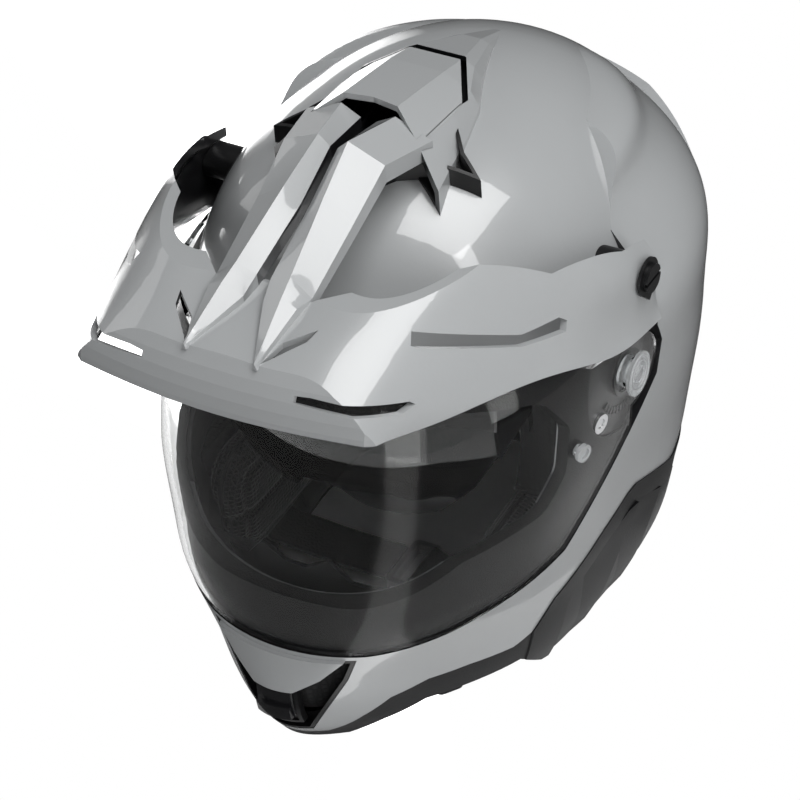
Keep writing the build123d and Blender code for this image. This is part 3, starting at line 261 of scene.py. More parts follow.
# %% Shader node groups: mottle, grain and mesh cells
def new_group(name, sizes, results):
    """A shader node group with number inputs and named outputs."""
    group = bpy.data.node_groups.new(name, "ShaderNodeTree")
    for label, value in sizes.items():
        socket = group.interface.new_socket(label, in_out="INPUT", socket_type="NodeSocketFloat")
        socket.default_value = value
    for label in results:
        group.interface.new_socket(label, in_out="OUTPUT", socket_type="NodeSocketFloat")
    entry = group.nodes.new("NodeGroupInput")
    leave = group.nodes.new("NodeGroupOutput")
    return group, entry, leave


def add(group, kind, **values):
    """A node with some of its settings and inputs filled in."""
    node = group.nodes.new(kind)
    for key, value in values.items():
        if key in node.inputs:
            node.inputs[key].default_value = value
        else:
            setattr(node, key, value)
    return node


mottle, entry, leave = new_group("mottle", {"Scale": 30.0, "Low": 0.9, "High": 1.1}, ["Factor"])
coords = add(mottle, "ShaderNodeTexCoord")
noise = add(mottle, "ShaderNodeTexNoise", Detail=4.0, Roughness=0.55)
spread = add(mottle, "ShaderNodeMapRange")
mottle.links.new(coords.outputs["Object"], noise.inputs["Vector"])
mottle.links.new(entry.outputs["Scale"], noise.inputs["Scale"])
mottle.links.new(noise.outputs["Fac"], spread.inputs["Value"])
mottle.links.new(entry.outputs["Low"], spread.inputs["To Min"])
mottle.links.new(entry.outputs["High"], spread.inputs["To Max"])
mottle.links.new(spread.outputs["Result"], leave.inputs["Factor"])

grain, entry, leave = new_group("grain", {"Scale": 900.0, "Depth": 1.0}, ["Height"])
coords = add(grain, "ShaderNodeTexCoord")
noise = add(grain, "ShaderNodeTexNoise", Detail=2.0, Roughness=0.5)
pits = add(grain, "ShaderNodeTexVoronoi")
blend = add(grain, "ShaderNodeMath", operation="ADD")
deep = add(grain, "ShaderNodeMath", operation="MULTIPLY")
for target in (noise, pits):
    grain.links.new(coords.outputs["Object"], target.inputs["Vector"])
    grain.links.new(entry.outputs["Scale"], target.inputs["Scale"])
grain.links.new(noise.outputs["Fac"], blend.inputs[0])
grain.links.new(pits.outputs["Distance"], blend.inputs[1])
grain.links.new(blend.outputs["Value"], deep.inputs[0])
grain.links.new(entry.outputs["Depth"], deep.inputs[1])
grain.links.new(deep.outputs["Value"], leave.inputs["Height"])

mesh_cells, entry, leave = new_group("mesh_cells", {"Scale": 420.0, "Hole": 0.35}, ["Thread", "Height"])
coords = add(mesh_cells, "ShaderNodeTexCoord")
cells = add(mesh_cells, "ShaderNodeTexVoronoi", feature="DISTANCE_TO_EDGE", Randomness=0.25)
mesh_cells.links.new(coords.outputs["Object"], cells.inputs["Vector"])
mesh_cells.links.new(entry.outputs["Scale"], cells.inputs["Scale"])
edge = add(mesh_cells, "ShaderNodeMapRange")
edge.inputs["To Min"].default_value = 1.0
edge.inputs["To Max"].default_value = 0.0
mesh_cells.links.new(cells.outputs["Distance"], edge.inputs["Value"])
mesh_cells.links.new(entry.outputs["Hole"], edge.inputs["From Max"])
mesh_cells.links.new(edge.outputs["Result"], leave.inputs["Thread"])
mesh_cells.links.new(edge.outputs["Result"], leave.inputs["Height"])
print("node groups:", [group.name for group in bpy.data.node_groups])

# %% [markdown]
# Materials. Each finish starts from one Principled shader. The helper below sets its plain numbers, mixes
# a light and a dark version of the colour by a group's factor, and feeds a group's height to a Bump
# node. The pages that follow only say what differs: the paint has a clear coat, the pads have a cloth
# mesh, and so on.

# %% A helper that builds one finish
def finish(name, colour, roughness, tone=None, relief=None, **more):
    """A material whose colour varies by tone and whose surface is embossed by relief.

    A tone is a group, its output, a dark and a light share of the colour, and the group's inputs. A
    relief is a group, its output, the Bump node's distance and strength, and the group's inputs.
    """
    material = bpy.data.materials.new(name)
    material.use_nodes = True
    tree = material.node_tree
    shader = tree.nodes["Principled BSDF"]
    shader.inputs["Base Color"].default_value = (*colour, 1)
    shader.inputs["Roughness"].default_value = roughness
    for key, value in more.items():
        shader.inputs[key.replace("_", " ")].default_value = value
    if tone:
        group, output, dark, light, sizes = tone
        source = tree.nodes.new("ShaderNodeGroup")
        source.node_tree = group
        for key, value in sizes.items():
            source.inputs[key].default_value = value
        mixer = tree.nodes.new("ShaderNodeMix")
        mixer.data_type = "RGBA"
        mixer.inputs["A"].default_value = (*[c * dark for c in colour], 1)
        mixer.inputs["B"].default_value = (*[c * light for c in colour], 1)
        tree.links.new(source.outputs[output], mixer.inputs["Factor"])
        tree.links.new(mixer.outputs["Result"], shader.inputs["Base Color"])
    if relief:
        group, output, distance, strength, sizes = relief
        source = tree.nodes.new("ShaderNodeGroup")
        source.node_tree = group
        for key, value in sizes.items():
            source.inputs[key].default_value = value
        bump = tree.nodes.new("ShaderNodeBump")
        bump.inputs["Distance"].default_value = distance
        bump.inputs["Strength"].default_value = strength
        tree.links.new(source.outputs[output], bump.inputs["Height"])
        tree.links.new(bump.outputs["Normal"], shader.inputs["Normal"])
    return material


# %% [markdown]
# The painted pieces share one light grey gloss. Under the clear coat the colour shifts by a few percent,
# and a very shallow ripple stands for the skin that sprayed lacquer always has.

# %% Paint
paint = finish(
    "grey_gloss_paint", (0.36, 0.37, 0.375), 0.32,
    tone=(mottle, "Factor", 0.97, 1.03, {"Scale": 18.0, "Low": 0.0, "High": 1.0}),
    relief=(mottle, "Factor", 0.0004, 0.12, {"Scale": 260.0, "Low": 0.0, "High": 1.0}),
    Coat_Weight=1.0, Coat_Roughness=0.03,
)
print("paint:", paint.name)

# %% [markdown]
# Paint goes on the outside only. The inside of the shell, of the peak and of the vent's cap is raw black
# plastic, and it shows through the slots. A face belongs to the inside when it looks towards the wearer's
# head, and the shader can tell that from its normal and its place. The same black also goes on faces that
# look sideways, such as the walls of recesses and slots, as painted shade.

# %% Paint with a black inside and painted shade
HEAD_MIDDLE = (0.0, HEAD_SHIFT - 0.03, 0.15)
# Black for the raw inside, also used as painted shade on sideways walls
INSIDE_BLACK_AND_SHADE = (0.01, 0.01, 0.011, 1)
# The black inside and the painted shade end where a face looks this much away from the head
INSIDE_BLACK_AND_SHADE_ENDS = (0.05, 0.15)


def black_inside_and_painted_shade(material, name):
    """The same finish, black on every face that looks towards the wearer's head or sideways: the raw
    inside, and painted shade on the side walls.
    """
    shaded_copy = material.copy()
    shaded_copy.name = name
    tree = shaded_copy.node_tree
    shader = tree.nodes["Principled BSDF"]
    painted = shader.inputs["Base Color"].links[0].from_socket
    coords = add(tree, "ShaderNodeTexCoord")
    outwards = add(tree, "ShaderNodeVectorMath", operation="SUBTRACT")
    outwards.inputs[1].default_value = HEAD_MIDDLE
    unit = add(tree, "ShaderNodeVectorMath", operation="NORMALIZE")
    turn = add(tree, "ShaderNodeVectorMath", operation="DOT_PRODUCT")
    share = add(tree, "ShaderNodeMapRange")
    share.inputs["From Min"].default_value = INSIDE_BLACK_AND_SHADE_ENDS[0]
    share.inputs["From Max"].default_value = INSIDE_BLACK_AND_SHADE_ENDS[1]
    # Painted shade: sideways faces such as recess and slot walls turn black, as the raw inside does
    mixer = add(tree, "ShaderNodeMix", data_type="RGBA")
    mixer.inputs["A"].default_value = INSIDE_BLACK_AND_SHADE
    tree.links.new(coords.outputs["Object"], outwards.inputs[0])
    tree.links.new(outwards.outputs["Vector"], unit.inputs[0])
    tree.links.new(unit.outputs["Vector"], turn.inputs[0])
    tree.links.new(coords.outputs["Normal"], turn.inputs[1])
    tree.links.new(turn.outputs["Value"], share.inputs["Value"])
    tree.links.new(share.outputs["Result"], mixer.inputs["Factor"])
    tree.links.new(painted, mixer.inputs["B"])
    tree.links.new(mixer.outputs["Result"], shader.inputs["Base Color"])
    return shaded_copy


paint_with_black_inside_and_shade = black_inside_and_painted_shade(paint, "grey_gloss_paint_black_inside_and_shade")
print("lined paint:", paint_with_black_inside_and_shade.name)

# %% [markdown]
# The black pieces differ by how they were moulded: satin with a grain on trims and skirts, glossy on the
# chin vent's block, matt on the rubber gasket.

# %% Black plastics and rubber
satin_black = finish(
    "satin_black_plastic", (0.006, 0.006, 0.0065), 0.36,
    tone=(mottle, "Factor", 0.8, 1.3, {"Scale": 60.0, "Low": 0.0, "High": 1.0}),
    relief=(grain, "Height", 0.0002, 0.25, {"Scale": 1400.0, "Depth": 0.5}), Specular_IOR_Level=0.35,
)
gloss_black = finish(
    "gloss_black_plastic", (0.008, 0.008, 0.009), 0.12,
    tone=(mottle, "Factor", 0.9, 1.2, {"Scale": 40.0, "Low": 0.0, "High": 1.0}), Coat_Weight=0.6,
)
gasket_rubber = finish(
    "gasket_rubber", (0.007, 0.007, 0.007), 0.6,
    tone=(mottle, "Factor", 0.8, 1.3, {"Scale": 90.0, "Low": 0.0, "High": 1.0}),
    relief=(grain, "Height", 0.0003, 0.5, {"Scale": 1100.0, "Depth": 1.0}), Specular_IOR_Level=0.3,
)
print("black pieces:", satin_black.name, gloss_black.name, gasket_rubber.name)

# %% [markdown]
# The shield is clear polycarbonate and the inner visor is smoke tinted. Both are solid panes, so light
# bends in at one face and out at the other. A tint multiplies at each face, which is why its colour is
# lighter than it looks. The clear pane bends light less than polycarbonate does: with the real index it
# reflects so much of the white room that a grey veil hides the black inside.

# %% Clear and tinted panes
clear_pane = finish(
    "clear_pane", (0.985, 0.99, 0.99), 0.0,
    tone=(mottle, "Factor", 0.99, 1.0, {"Scale": 20.0, "Low": 0.0, "High": 1.0}),
    Transmission_Weight=1.0, IOR=1.2,
)
tinted_pane = finish(
    "tinted_pane", (0.09, 0.095, 0.092), 0.0,
    tone=(mottle, "Factor", 0.97, 1.03, {"Scale": 20.0, "Low": 0.0, "High": 1.0}),
    Transmission_Weight=1.0, IOR=1.5,
)
clear_fitting = finish(
    "clear_fitting", (0.9, 0.92, 0.93), 0.08,
    tone=(mottle, "Factor", 0.95, 1.0, {"Scale": 80.0, "Low": 0.0, "High": 1.0}),
    Transmission_Weight=0.7, IOR=1.5,
)
print("panes:", clear_pane.name, tinted_pane.name, clear_fitting.name)

# %% [markdown]
# The inside: black rigid foam with visible beads, a cloth mesh with small cells on the pads, smooth cloth
# with a sewn edging, woven straps with grey thread, and plated steel.

# %% Foam, cloth, webbing and steel
foam = finish(
    "black_foam", (0.025, 0.025, 0.026), 0.85,
    tone=(mesh_cells, "Thread", 1.2, 0.6, {"Scale": 320.0, "Hole": 0.3}),
    relief=(mesh_cells, "Height", 0.0004, 0.4, {"Scale": 320.0, "Hole": 0.3}),
)
mesh_cloth = finish(
    "mesh_cloth", (0.02, 0.02, 0.021), 0.9,
    tone=(mesh_cells, "Thread", 0.35, 1.6, {"Scale": 420.0, "Hole": 0.3}),
    relief=(mesh_cells, "Height", 0.0006, 0.7, {"Scale": 420.0, "Hole": 0.3}), Sheen_Weight=0.3,
)
webbing = finish(
    "black_webbing", (0.018, 0.018, 0.018), 0.8,
    tone=(grain, "Height", 0.6, 1.4, {"Scale": 700.0, "Depth": 0.8}),
    relief=(grain, "Height", 0.0005, 0.6, {"Scale": 700.0, "Depth": 1.0}), Sheen_Weight=0.2,
)
smooth_cloth = finish(
    "smooth_cloth", (0.018, 0.018, 0.019), 0.62,
    tone=(grain, "Height", 0.7, 1.3, {"Scale": 1500.0, "Depth": 0.8}),
    relief=(grain, "Height", 0.0003, 0.5, {"Scale": 1800.0, "Depth": 1.0}), Sheen_Weight=0.25,
)
soft_edging = finish(
    "soft_edging", (0.014, 0.014, 0.015), 0.5,
    tone=(grain, "Height", 0.7, 1.4, {"Scale": 1200.0, "Depth": 0.8}),
    relief=(grain, "Height", 0.0002, 0.5, {"Scale": 1500.0, "Depth": 1.0}),
)
steel_grey_thread = finish(
    "grey_thread", (0.09, 0.09, 0.092), 0.6,
    tone=(grain, "Height", 0.7, 1.3, {"Scale": 3000.0, "Depth": 1.0}), Sheen_Weight=0.2,
)
steel = finish(
    "plated_steel", (0.62, 0.62, 0.63), 0.28,
    tone=(mottle, "Factor", 0.85, 1.05, {"Scale": 120.0, "Low": 0.0, "High": 1.0}), Metallic=1.0,
)
print("materials:", [material.name for material in bpy.data.materials])

# %% [markdown]
# Every solid names the slot that its material goes in, so the finishes are handed out by one loop. Three
# painted pieces show their inside, and they take the paint with the black inside, which also paints shade
# on their sideways walls.

# %% Finishes on the solids
LOOKS = {
    "shell_paint": paint, "black_plastic": satin_black, "gloss_black": gloss_black,
    "gasket_rubber": gasket_rubber, "clear_pane": clear_pane, "tinted_pane": tinted_pane, "foam": foam,
    "lining": mesh_cloth, "webbing": webbing, "steel": steel, "clear_fitting": clear_fitting,
}
BLACK_INSIDE_AND_SHADE_PIECES = ("peak", "top_vent_housing", "outer_shell")
for entry in frame["record"]["subparts"]:
    node = frame["nodes"][entry["node"]]
    # These three pieces get the black inside, with painted shade on their sideways walls
    look = paint_with_black_inside_and_shade if entry["node"] in BLACK_INSIDE_AND_SHADE_PIECES else LOOKS[entry["material_slot"]]
    if not node.material_slots:
        node.data.materials.append(look)
    for slot in node.material_slots:
        slot.material = look

# %% [markdown]
# The lining. Pads are foam wrapped in cloth: the foam pushes outwards, the cloth holds it back at the
# seams, and so every face is slightly crowned. Blender can work that out. The CAD solid is copied,
# rebuilt as an even skin, drawn in a little, and then blown up as cloth with air inside. A cap on how far
# each point may travel keeps the pad in its own space beside the foam and the shell.

# %% Helpers for padded pieces
def solid_copy(node, name):
    """A merged copy of a CAD solid's mesh that may be reshaped."""
    bm = bmesh.new()
    bm.from_mesh(frame["nodes"][node].data)
    bmesh.ops.transform(bm, matrix=frame["nodes"][node].matrix_world, verts=bm.verts)
    bmesh.ops.remove_doubles(bm, verts=bm.verts, dist=1e-6)
    return mesh_from(name, bm)


def settle(piece):
    """Applies a piece's modifiers to its mesh."""
    graph = bpy.context.evaluated_depsgraph_get()
    mesh = bpy.data.meshes.new_from_object(piece.evaluated_get(graph))
    piece.modifiers.clear()
    piece.data = mesh
    return piece


def even_skin(piece, voxel):
    """Rebuilds a closed mesh as even quads."""
    rebuild = piece.modifiers.new("even_skin", "REMESH")
    rebuild.mode = "VOXEL"
    rebuild.voxel_size = voxel
    return settle(piece)


def swell(piece, drawn_in, proud, pressure=4.0, frames=16):
    """Draws a pad in along its normals, blows it up as cloth, and holds each point within its space."""
    mesh = piece.data
    outer = [v.co.copy() for v in mesh.vertices]
    normals = [v.normal.copy() for v in mesh.vertices]
    for vertex, normal in zip(mesh.vertices, normals):
        vertex.co -= normal * drawn_in
    cloth = piece.modifiers.new("air", "CLOTH")
    cloth.settings.use_pressure = True
    cloth.settings.uniform_pressure_force = pressure
    cloth.settings.effector_weights.gravity = 0
    cloth.settings.quality = 4
    cloth.point_cache.frame_start = 1
    cloth.point_cache.frame_end = frames
    for step in range(1, frames + 1):
        bpy.context.scene.frame_set(step)
    settle(piece)
    bpy.context.scene.frame_set(1)
    mesh = piece.data
    for vertex, place, normal in zip(mesh.vertices, outer, normals):
        out = (vertex.co - place).dot(normal)
        if out > proud:
            vertex.co -= normal * (out - proud)


def sew(piece, point, normal, width, depth):
    """Presses a sewn channel into a pad along a plane."""
    normal = Vector(normal).normalized()
    point = Vector(point)
    for vertex in piece.data.vertices:
        away = abs((vertex.co - point).dot(normal)) / width
        if away < 1:
            vertex.co -= vertex.normal * depth * (1 - away * away) ** 2


def smoothed(piece, levels=1):
    """Rounds a piece by subdivision and shades it smooth."""
    if levels:
        round_off = piece.modifiers.new("round_off", "SUBSURF")
        round_off.levels = levels
        round_off.render_levels = levels
        settle(piece)
    for polygon in piece.data.polygons:
        polygon.use_smooth = True


def dress(piece, look):
    """Gives a piece one material in place of what it had."""
    piece.data.materials.clear()
    piece.data.materials.append(look)


def piping(name, piece, point, normal, radius, look):
    """A sewn cord round the outline where a plane cuts a pad."""
    bm = bmesh.new()
    bm.from_mesh(piece.data)
    whole = bm.verts[:] + bm.edges[:] + bm.faces[:]
    cut = bmesh.ops.bisect_plane(bm, geom=whole, plane_co=point, plane_no=normal)
    edges = [e for e in cut["geom_cut"] if isinstance(e, bmesh.types.BMEdge)]
    links = {}
    for edge in edges:
        first, second = edge.verts
        links.setdefault(first, []).append(second)
        links.setdefault(second, []).append(first)
    line = bpy.data.curves.new(name, "CURVE")
    line.dimensions = "3D"
    left = dict.fromkeys(links)
    while left:
        start = next((v for v in left if len(links[v]) == 1), next(iter(left)))
        chain, here = [start], start
        del left[start]
        while True:
            ahead = [v for v in links[here] if v in left]
            if not ahead:
                break
            here = ahead[0]
            del left[here]
            chain.append(here)
        if len(chain) < 4:
            continue
        spline = line.splines.new("POLY")
        spline.points.add(len(chain) - 1)
        for dot, vertex in zip(spline.points, chain):
            dot.co = (*vertex.co, 1)
        spline.use_cyclic_u = start in links[chain[-1]]
    bm.free()
    line.bevel_depth = radius
    line.bevel_resolution = 2
    cord = new_object(name + "_line", line)
    mesh = bpy.data.meshes.new_from_object(cord.evaluated_get(bpy.context.evaluated_depsgraph_get()))
    bpy.data.objects.remove(cord)
    mesh.name = name
    edging = new_object(name, mesh)
    smoothed(edging, levels=0)
    dress(edging, look)
    return edging


# %% [markdown]
# The cheek pads are the cushions that press on the jaw. Each has a raised middle inside a sewn border, and
# a channel along it that lets the foam bend round the face. The border is found by distance from a
# rounded rectangle, so that the seam keeps the same gap from the edge all the way round.

# %% Cheek pads
def border_distance(across_value, up_value, half_across, half_up, corner):
    """Distance outwards from a rounded rectangle round the middle."""
    past_across = abs(across_value) - half_across + corner
    past_up = abs(up_value) - half_up + corner
    outside = math.hypot(max(past_across, 0), max(past_up, 0))
    return outside + min(max(past_across, past_up), 0) - corner


def sew_border(piece, middle, half_across, half_up, corner, inset, width, depth):
    """A sewn line at one distance inside a pad's outline, seen from the side."""
    for vertex in piece.data.vertices:
        gap = border_distance(vertex.co.y - middle.y, vertex.co.z - middle.z, half_across, half_up, corner)
        away = abs(gap + inset) / width
        if away < 1:
            vertex.co -= vertex.normal * depth * (1 - away * away) ** 2


for side in ("left", "right"):
    low, high = (Vector(corner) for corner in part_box(f"cheek_pad_{side}"))
    middle, size = (low + high) / 2, high - low
    cushion = even_skin(solid_copy(f"cheek_pad_{side}", f"cheek_cushion_{side}"), voxel=0.0035)
    swell(cushion, drawn_in=0.0012, proud=0.0)
    smoothed(cushion)
    sew_border(
        cushion, middle, size.y / 2, size.z / 2,
        corner=0.022, inset=0.011, width=0.0022, depth=0.0016,
    )
    sew(cushion, middle, (0, 0, 1), width=0.003, depth=0.0018)
    dress(cushion, mesh_cloth)
    edging = piping(
        f"cheek_piping_{side}", cushion, (middle.x, 0, 0), (1, 0, 0), radius=0.0011, look=soft_edging,
    )
    for piece in (cushion, edging):
        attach(piece, "shell")
    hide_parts(f"cheek_pad_{side}")
    print(cushion.name, len(cushion.data.vertices), "points")

# %% [markdown]
# The crown pad lines the dome. Seen from below it is a bowl of cloth in panels, with one long channel on
# each side of a middle strip and two across, where air runs from the top vent to the back.

# %% Crown pad
# Places of the channels, as shares of the pad's width and length from its middle
LONG_CHANNEL_SHARES = (-0.17, 0.17)
CROSS_CHANNEL_SHARES = (-0.18, 0.16)
CROSS_CHANNEL_LEAN = (0, 1, 0.15)
CROWN_PIPING_HEIGHT = 0.002

low, high = (Vector(corner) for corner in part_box("crown_pad"))
middle, size = (low + high) / 2, high - low
bowl = even_skin(solid_copy("crown_pad", "crown_lining"), voxel=0.0036)
swell(bowl, drawn_in=0.001, proud=0.0)
smoothed(bowl, levels=0)
for share in LONG_CHANNEL_SHARES:
    sew(bowl, (middle.x + share * size.x, 0, 0), (1, 0, 0), width=0.004, depth=0.0022)
for share in CROSS_CHANNEL_SHARES:
    sew(bowl, (0, middle.y + share * size.y, 0), CROSS_CHANNEL_LEAN, width=0.004, depth=0.0022)
dress(bowl, mesh_cloth)
rim_place = (0, 0, low.z + CROWN_PIPING_HEIGHT)
rim = piping("crown_piping", bowl, rim_place, (0, 0, 1), radius=0.0012, look=soft_edging)
for piece in (bowl, rim):
    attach(piece, "shell")
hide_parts("crown_pad")
print(bowl.name, len(bowl.data.vertices), "points")

# %% [markdown]
# The neck roll is a firm bolster along the back of the opening, covered in smooth cloth that wipes clean,
# with a piped edge below. It is made as the pads are.

# %% Neck roll
# Places of the seams across the roll, as shares of its width from its middle
NECK_SEAM_SHARES = (-0.3, 0.0, 0.3)
NECK_PIPING_HEIGHT = 0.004

low, high = (Vector(corner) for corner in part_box("neck_roll"))
middle, size = (low + high) / 2, high - low
neck = even_skin(solid_copy("neck_roll", "neck_bolster"), voxel=0.003)
swell(neck, drawn_in=0.0008, proud=0.0)
smoothed(neck)
for share in NECK_SEAM_SHARES:
    sew(neck, (middle.x + share * size.x, 0, 0), (1, 0, 0), width=0.003, depth=0.0016)
dress(neck, smooth_cloth)
edge_place = (0, 0, low.z + NECK_PIPING_HEIGHT)
edging = piping("neck_piping", neck, edge_place, (0, 0, 1), radius=0.0011, look=soft_edging)
for piece in (neck, edging):
    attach(piece, "shell")
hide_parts("neck_roll")
print(neck.name, len(neck.data.vertices), "points")

# %% [markdown]
# The chin curtain is a flap of padded cloth that closes the gap under the chin. It is thin, so the even
# skin has small cells, and a few rounds of smoothing turn its square edges into folded ones.

# %% Chin curtain
SMOOTHING_ROUNDS = 4

flap = even_skin(solid_copy("chin_curtain", "chin_flap"), voxel=0.0009)
bm = bmesh.new()
bm.from_mesh(flap.data)
for _ in range(SMOOTHING_ROUNDS):
    bmesh.ops.smooth_vert(
        bm, verts=bm.verts, factor=0.5, use_axis_x=True, use_axis_y=True, use_axis_z=True,
    )
bm.to_mesh(flap.data)
bm.free()
smoothed(flap, levels=0)
dress(flap, smooth_cloth)
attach(flap, "shell")
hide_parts("chin_curtain")
print(flap.name, len(flap.data.vertices), "points")

# %% [markdown]
# The strap is woven webbing, 25 mm wide and about 2 mm thick. A strip is grown edge by edge along its path
# and then given its thickness. The left half folds round the bars of the two rings and is stitched back
# on to itself, which is what carries the load.

# %% Helpers for webbing and stitches
WEBBING_WIDTH = 0.025
WEBBING_WALL = 0.002
WORN_EDGE = 0.0004


def strip(name, path, y):
    """A band of webbing that follows a path in the front view, centred on one y."""
    bm = bmesh.new()
    half = WEBBING_WIDTH / 2
    x, z = path[0]
    ends = [bm.verts.new((x, y - half, z)), bm.verts.new((x, y + half, z))]
    edges = [bm.edges.new(ends)]
    for x_next, z_next in path[1:]:
        grown = bmesh.ops.extrude_edge_only(bm, edges=edges)["geom"]
        points = [g for g in grown if isinstance(g, bmesh.types.BMVert)]
        edges = [g for g in grown if isinstance(g, bmesh.types.BMEdge)]
        bmesh.ops.translate(bm, verts=points, vec=(x_next - x, 0, z_next - z))
        x, z = x_next, z_next
    across = [e for e in bm.edges if abs(e.verts[0].co.y - e.verts[1].co.y) > half]
    bmesh.ops.subdivide_edges(bm, edges=across, cuts=4)
    bmesh.ops.recalc_face_normals(bm, faces=bm.faces)
    band = mesh_from(name, bm)
    wall = band.modifiers.new("webbing_wall", "SOLIDIFY")
    wall.thickness = WEBBING_WALL
    wall.offset = 0
    settle(band)
    soften = band.modifiers.new("worn_edges", "BEVEL")
    soften.width = WORN_EDGE
    soften.segments = 2
    soften.limit_method = "ANGLE"
    settle(band)
    smoothed(band, levels=0)
    dress(band, webbing)
    return band


def bow(start, end, sag, steps):
    """Points between two places, bowed down by sag."""
    points = []
    for i in range(1, steps + 1):
        t = i / steps
        x = start[0] + (end[0] - start[0]) * t
        z = start[1] + (end[1] - start[1]) * t - sag * 4 * t * (1 - t)
        points.append((x, z))
    return points


def stitches(name, places, length, radius, look):
    """A run of short rounded stitches; each place is a middle and a direction in the plan."""
    flatness = 0.6
    bm = bmesh.new()
    for x, y, z, turn in places:
        stand = Matrix.Translation((x, y, z)) @ Matrix.Rotation(turn, 4, "Z")
        made = bmesh.ops.create_cone(
            bm, cap_ends=True, segments=6, radius1=radius, radius2=radius, depth=length,
            matrix=stand @ Matrix.Rotation(math.pi / 2, 4, "Y"),
        )
        for vertex in made["verts"]:
            vertex.co.z = z + (vertex.co.z - z) * flatness
    thread = mesh_from(name, bm)
    smoothed(thread, levels=0)
    thread.data.materials.append(look)
    return thread


# %% [markdown]
# Each band follows a path of points in the front view. It drops from the rivet, bends inwards and runs to
# the rings with a slight bow, and the fold goes round the bars of both rings. The boxes of the strap and
# of the rings say where these places are.

# %% Paths of the straps
RING_WIRE = 0.003
RING_PLAY = 0.0003
STRAP_BOW = 0.0012
BOW_STEPS = 10
# The strap hangs from its rivet and bends inwards: steps from its upper end, across and up
HANG_STEPS = ((0, 0), (0, -0.004), (-0.0004, -0.008), (-0.003, -0.0105))
# The fold starts below the bars, turns round them and ends above: degrees, and points on the way
FOLD_START = -62
FOLD_TURN = 236
FOLD_STEPS = 12
FOLD_PLAY = 0.0013
FOLD_TAIL = 0.004
# The left band ends this far from the bars and this much above their middle
BAND_END = (0.0016, 0.0001)
RIGHT_END_BACK = 0.0006

ring_low, ring_high = (Vector(corner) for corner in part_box("strap_rings"))
strap_high = Vector(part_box("chin_strap_left")[1])
strap_y = (ring_low.y + ring_high.y) / 2
bar_x = ring_high.x - RING_WIRE / 2
level = (ring_low.z + ring_high.z) / 2
reach = (ring_high.z - ring_low.z) / 2 + RING_PLAY + WEBBING_WALL / 2
side_x = strap_high.x - WEBBING_WALL
start = (bar_x + RING_WIRE / 2 + BAND_END[0], level + BAND_END[1])
left_path = [(side_x + across, strap_high.z + up) for across, up in HANG_STEPS]
right_path = [(-x, z) for x, z in left_path]
left_path += bow(left_path[-1], start, STRAP_BOW, BOW_STEPS)
right_path += bow(right_path[-1], (-start[0] + RIGHT_END_BACK, level), STRAP_BOW, BOW_STEPS)
loop_path = [(start[0] + FOLD_TAIL, level - FOLD_PLAY)]
for i in range(FOLD_STEPS + 1):
    angle = math.radians(FOLD_START - i * FOLD_TURN / FOLD_STEPS)
    x = bar_x + (RING_WIRE / 2 + FOLD_PLAY) * math.cos(angle)
    loop_path.append((x, level + reach * math.sin(angle)))
loop_path.append((start[0] + FOLD_TAIL, level + FOLD_PLAY))
print("points on the straps:", len(left_path), len(right_path), len(loop_path))

# %% [markdown]
# The fold is held by a box of stitches beside the rings: two rows across the webbing and a few stitches
# along each edge between them.

# %% Chin straps
# The rows' distances from the band's end, the box's half height and the pitches of its stitches
TACK_ROWS = (0.003, 0.012)
TACK_HALF = 0.0105
TACK_PITCH = 0.0035
TACK_COUNT = 7
EDGE_TACK_START = 0.0045
EDGE_TACK_PITCH = 0.003
EDGE_TACK_COUNT = 3

left_band = strip("left_webbing", left_path, strap_y)
fold = strip("ring_fold", loop_path, strap_y)
right_band = strip("right_webbing", right_path, strap_y)
tack_z = level - FOLD_PLAY
tacks = []
for i in range(TACK_COUNT):
    along = -TACK_HALF + i * TACK_PITCH
    for off in TACK_ROWS:
        tacks.append((start[0] + off, strap_y + along, tack_z, math.pi / 2))
for i in range(EDGE_TACK_COUNT):
    for along in (-TACK_HALF, TACK_HALF):
        x = start[0] + EDGE_TACK_START + i * EDGE_TACK_PITCH
        tacks.append((x, strap_y + along, tack_z, 0))
thread = stitches("bar_tacks", tacks, length=0.0024, radius=0.0004, look=steel_grey_thread)
for piece in (left_band, fold, right_band, thread):
    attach(piece, "shell")
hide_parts("chin_strap_left")
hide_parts("chin_strap_right")
print("straps:", left_band.name, fold.name, right_band.name, "and", len(tacks), "stitches")

# %% [markdown]
# The ear is the busiest place behind the clear shield. Its pivot shows rings turned into the clear cap,
# and the black plate has an arc of ratchet teeth that hold the shield open in steps. A ray cast at the
# plate finds where each tooth stands, because the plate follows the curve of the shell.

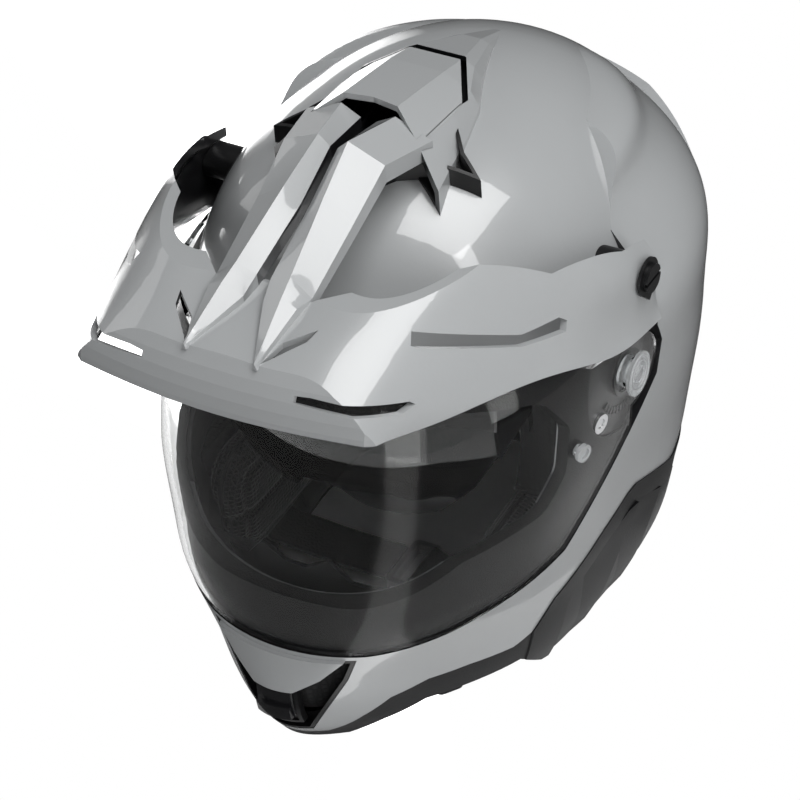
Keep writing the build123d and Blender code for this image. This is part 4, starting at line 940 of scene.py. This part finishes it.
# %% Rings and ratchet teeth at the pivots
def turned_ring(bm, centre, radius, wire, around=48, across=8):
    """A round ring on a face that looks along X."""
    rows = []
    for i in range(around):
        turn = 2 * math.pi * i / around
        row = []
        for j in range(across):
            lean = 2 * math.pi * j / across
            reach = radius + wire * math.cos(lean)
            spot = (wire * math.sin(lean), reach * math.cos(turn), reach * math.sin(turn))
            row.append(bm.verts.new(centre + Vector(spot)))
        rows.append(row)
    for i in range(around):
        for j in range(across):
            here, ahead = rows[i], rows[(i + 1) % around]
            beside = (j + 1) % across
            bm.faces.new((here[j], here[beside], ahead[beside], ahead[j]))
    bmesh.ops.recalc_face_normals(bm, faces=bm.faces)


RING_RADII = (0.0042, 0.0066, 0.0094)
RING_RELIEF = 0.00035
TOOTH_COUNT = 15
TOOTH_ARC_RADIUS = 0.0195
TOOTH_SIZE = (0.0016, 0.0017, 0.0036)
# The arc of teeth begins here and goes this far round, in degrees
ARC_START = -150
ARC_TURN = 130
# The rays start this far out from the middle, beyond the shell
RAY_START = 0.2
for side, sign in (("left", 1), ("right", -1)):
    low, high = (Vector(corner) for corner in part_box(f"shield_pivot_cap_{side}"))
    pivot = (low + high) / 2
    face_x = high.x if sign > 0 else low.x
    bm = bmesh.new()
    for radius in RING_RADII:
        turned_ring(bm, Vector((face_x, pivot.y, pivot.z)), radius, RING_RELIEF)
    rings = mesh_from(f"pivot_rings_{side}", bm)
    smoothed(rings, levels=0)
    rings.data.materials.append(clear_fitting)
    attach(rings, "shell")
    graph = bpy.context.evaluated_depsgraph_get()
    plate = BVHTree.FromObject(frame["nodes"][f"shield_base_plate_{side}"], graph)
    bm = bmesh.new()
    for i in range(TOOTH_COUNT):
        turn = math.radians(ARC_START + ARC_TURN * i / (TOOTH_COUNT - 1))
        y = pivot.y + TOOTH_ARC_RADIUS * math.cos(turn)
        z = pivot.z + TOOTH_ARC_RADIUS * math.sin(turn)
        spot = plate.ray_cast(Vector((sign * RAY_START, y, z)), Vector((-sign, 0, 0)))[0]
        if spot is None:
            continue
        lean = Matrix.Rotation(turn - math.pi / 2, 3, "X")
        made = bmesh.ops.create_cube(bm, size=1.0)
        bmesh.ops.scale(bm, verts=made["verts"], vec=TOOTH_SIZE)
        bmesh.ops.rotate(bm, verts=made["verts"], cent=(0, 0, 0), matrix=lean)
        bmesh.ops.translate(bm, verts=made["verts"], vec=spot)
    teeth = mesh_from(f"ratchet_teeth_{side}", bm)
    teeth.data.materials.append(satin_black)
    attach(teeth, "shell")
    print(teeth.name, len(teeth.data.polygons) // 6, "teeth")
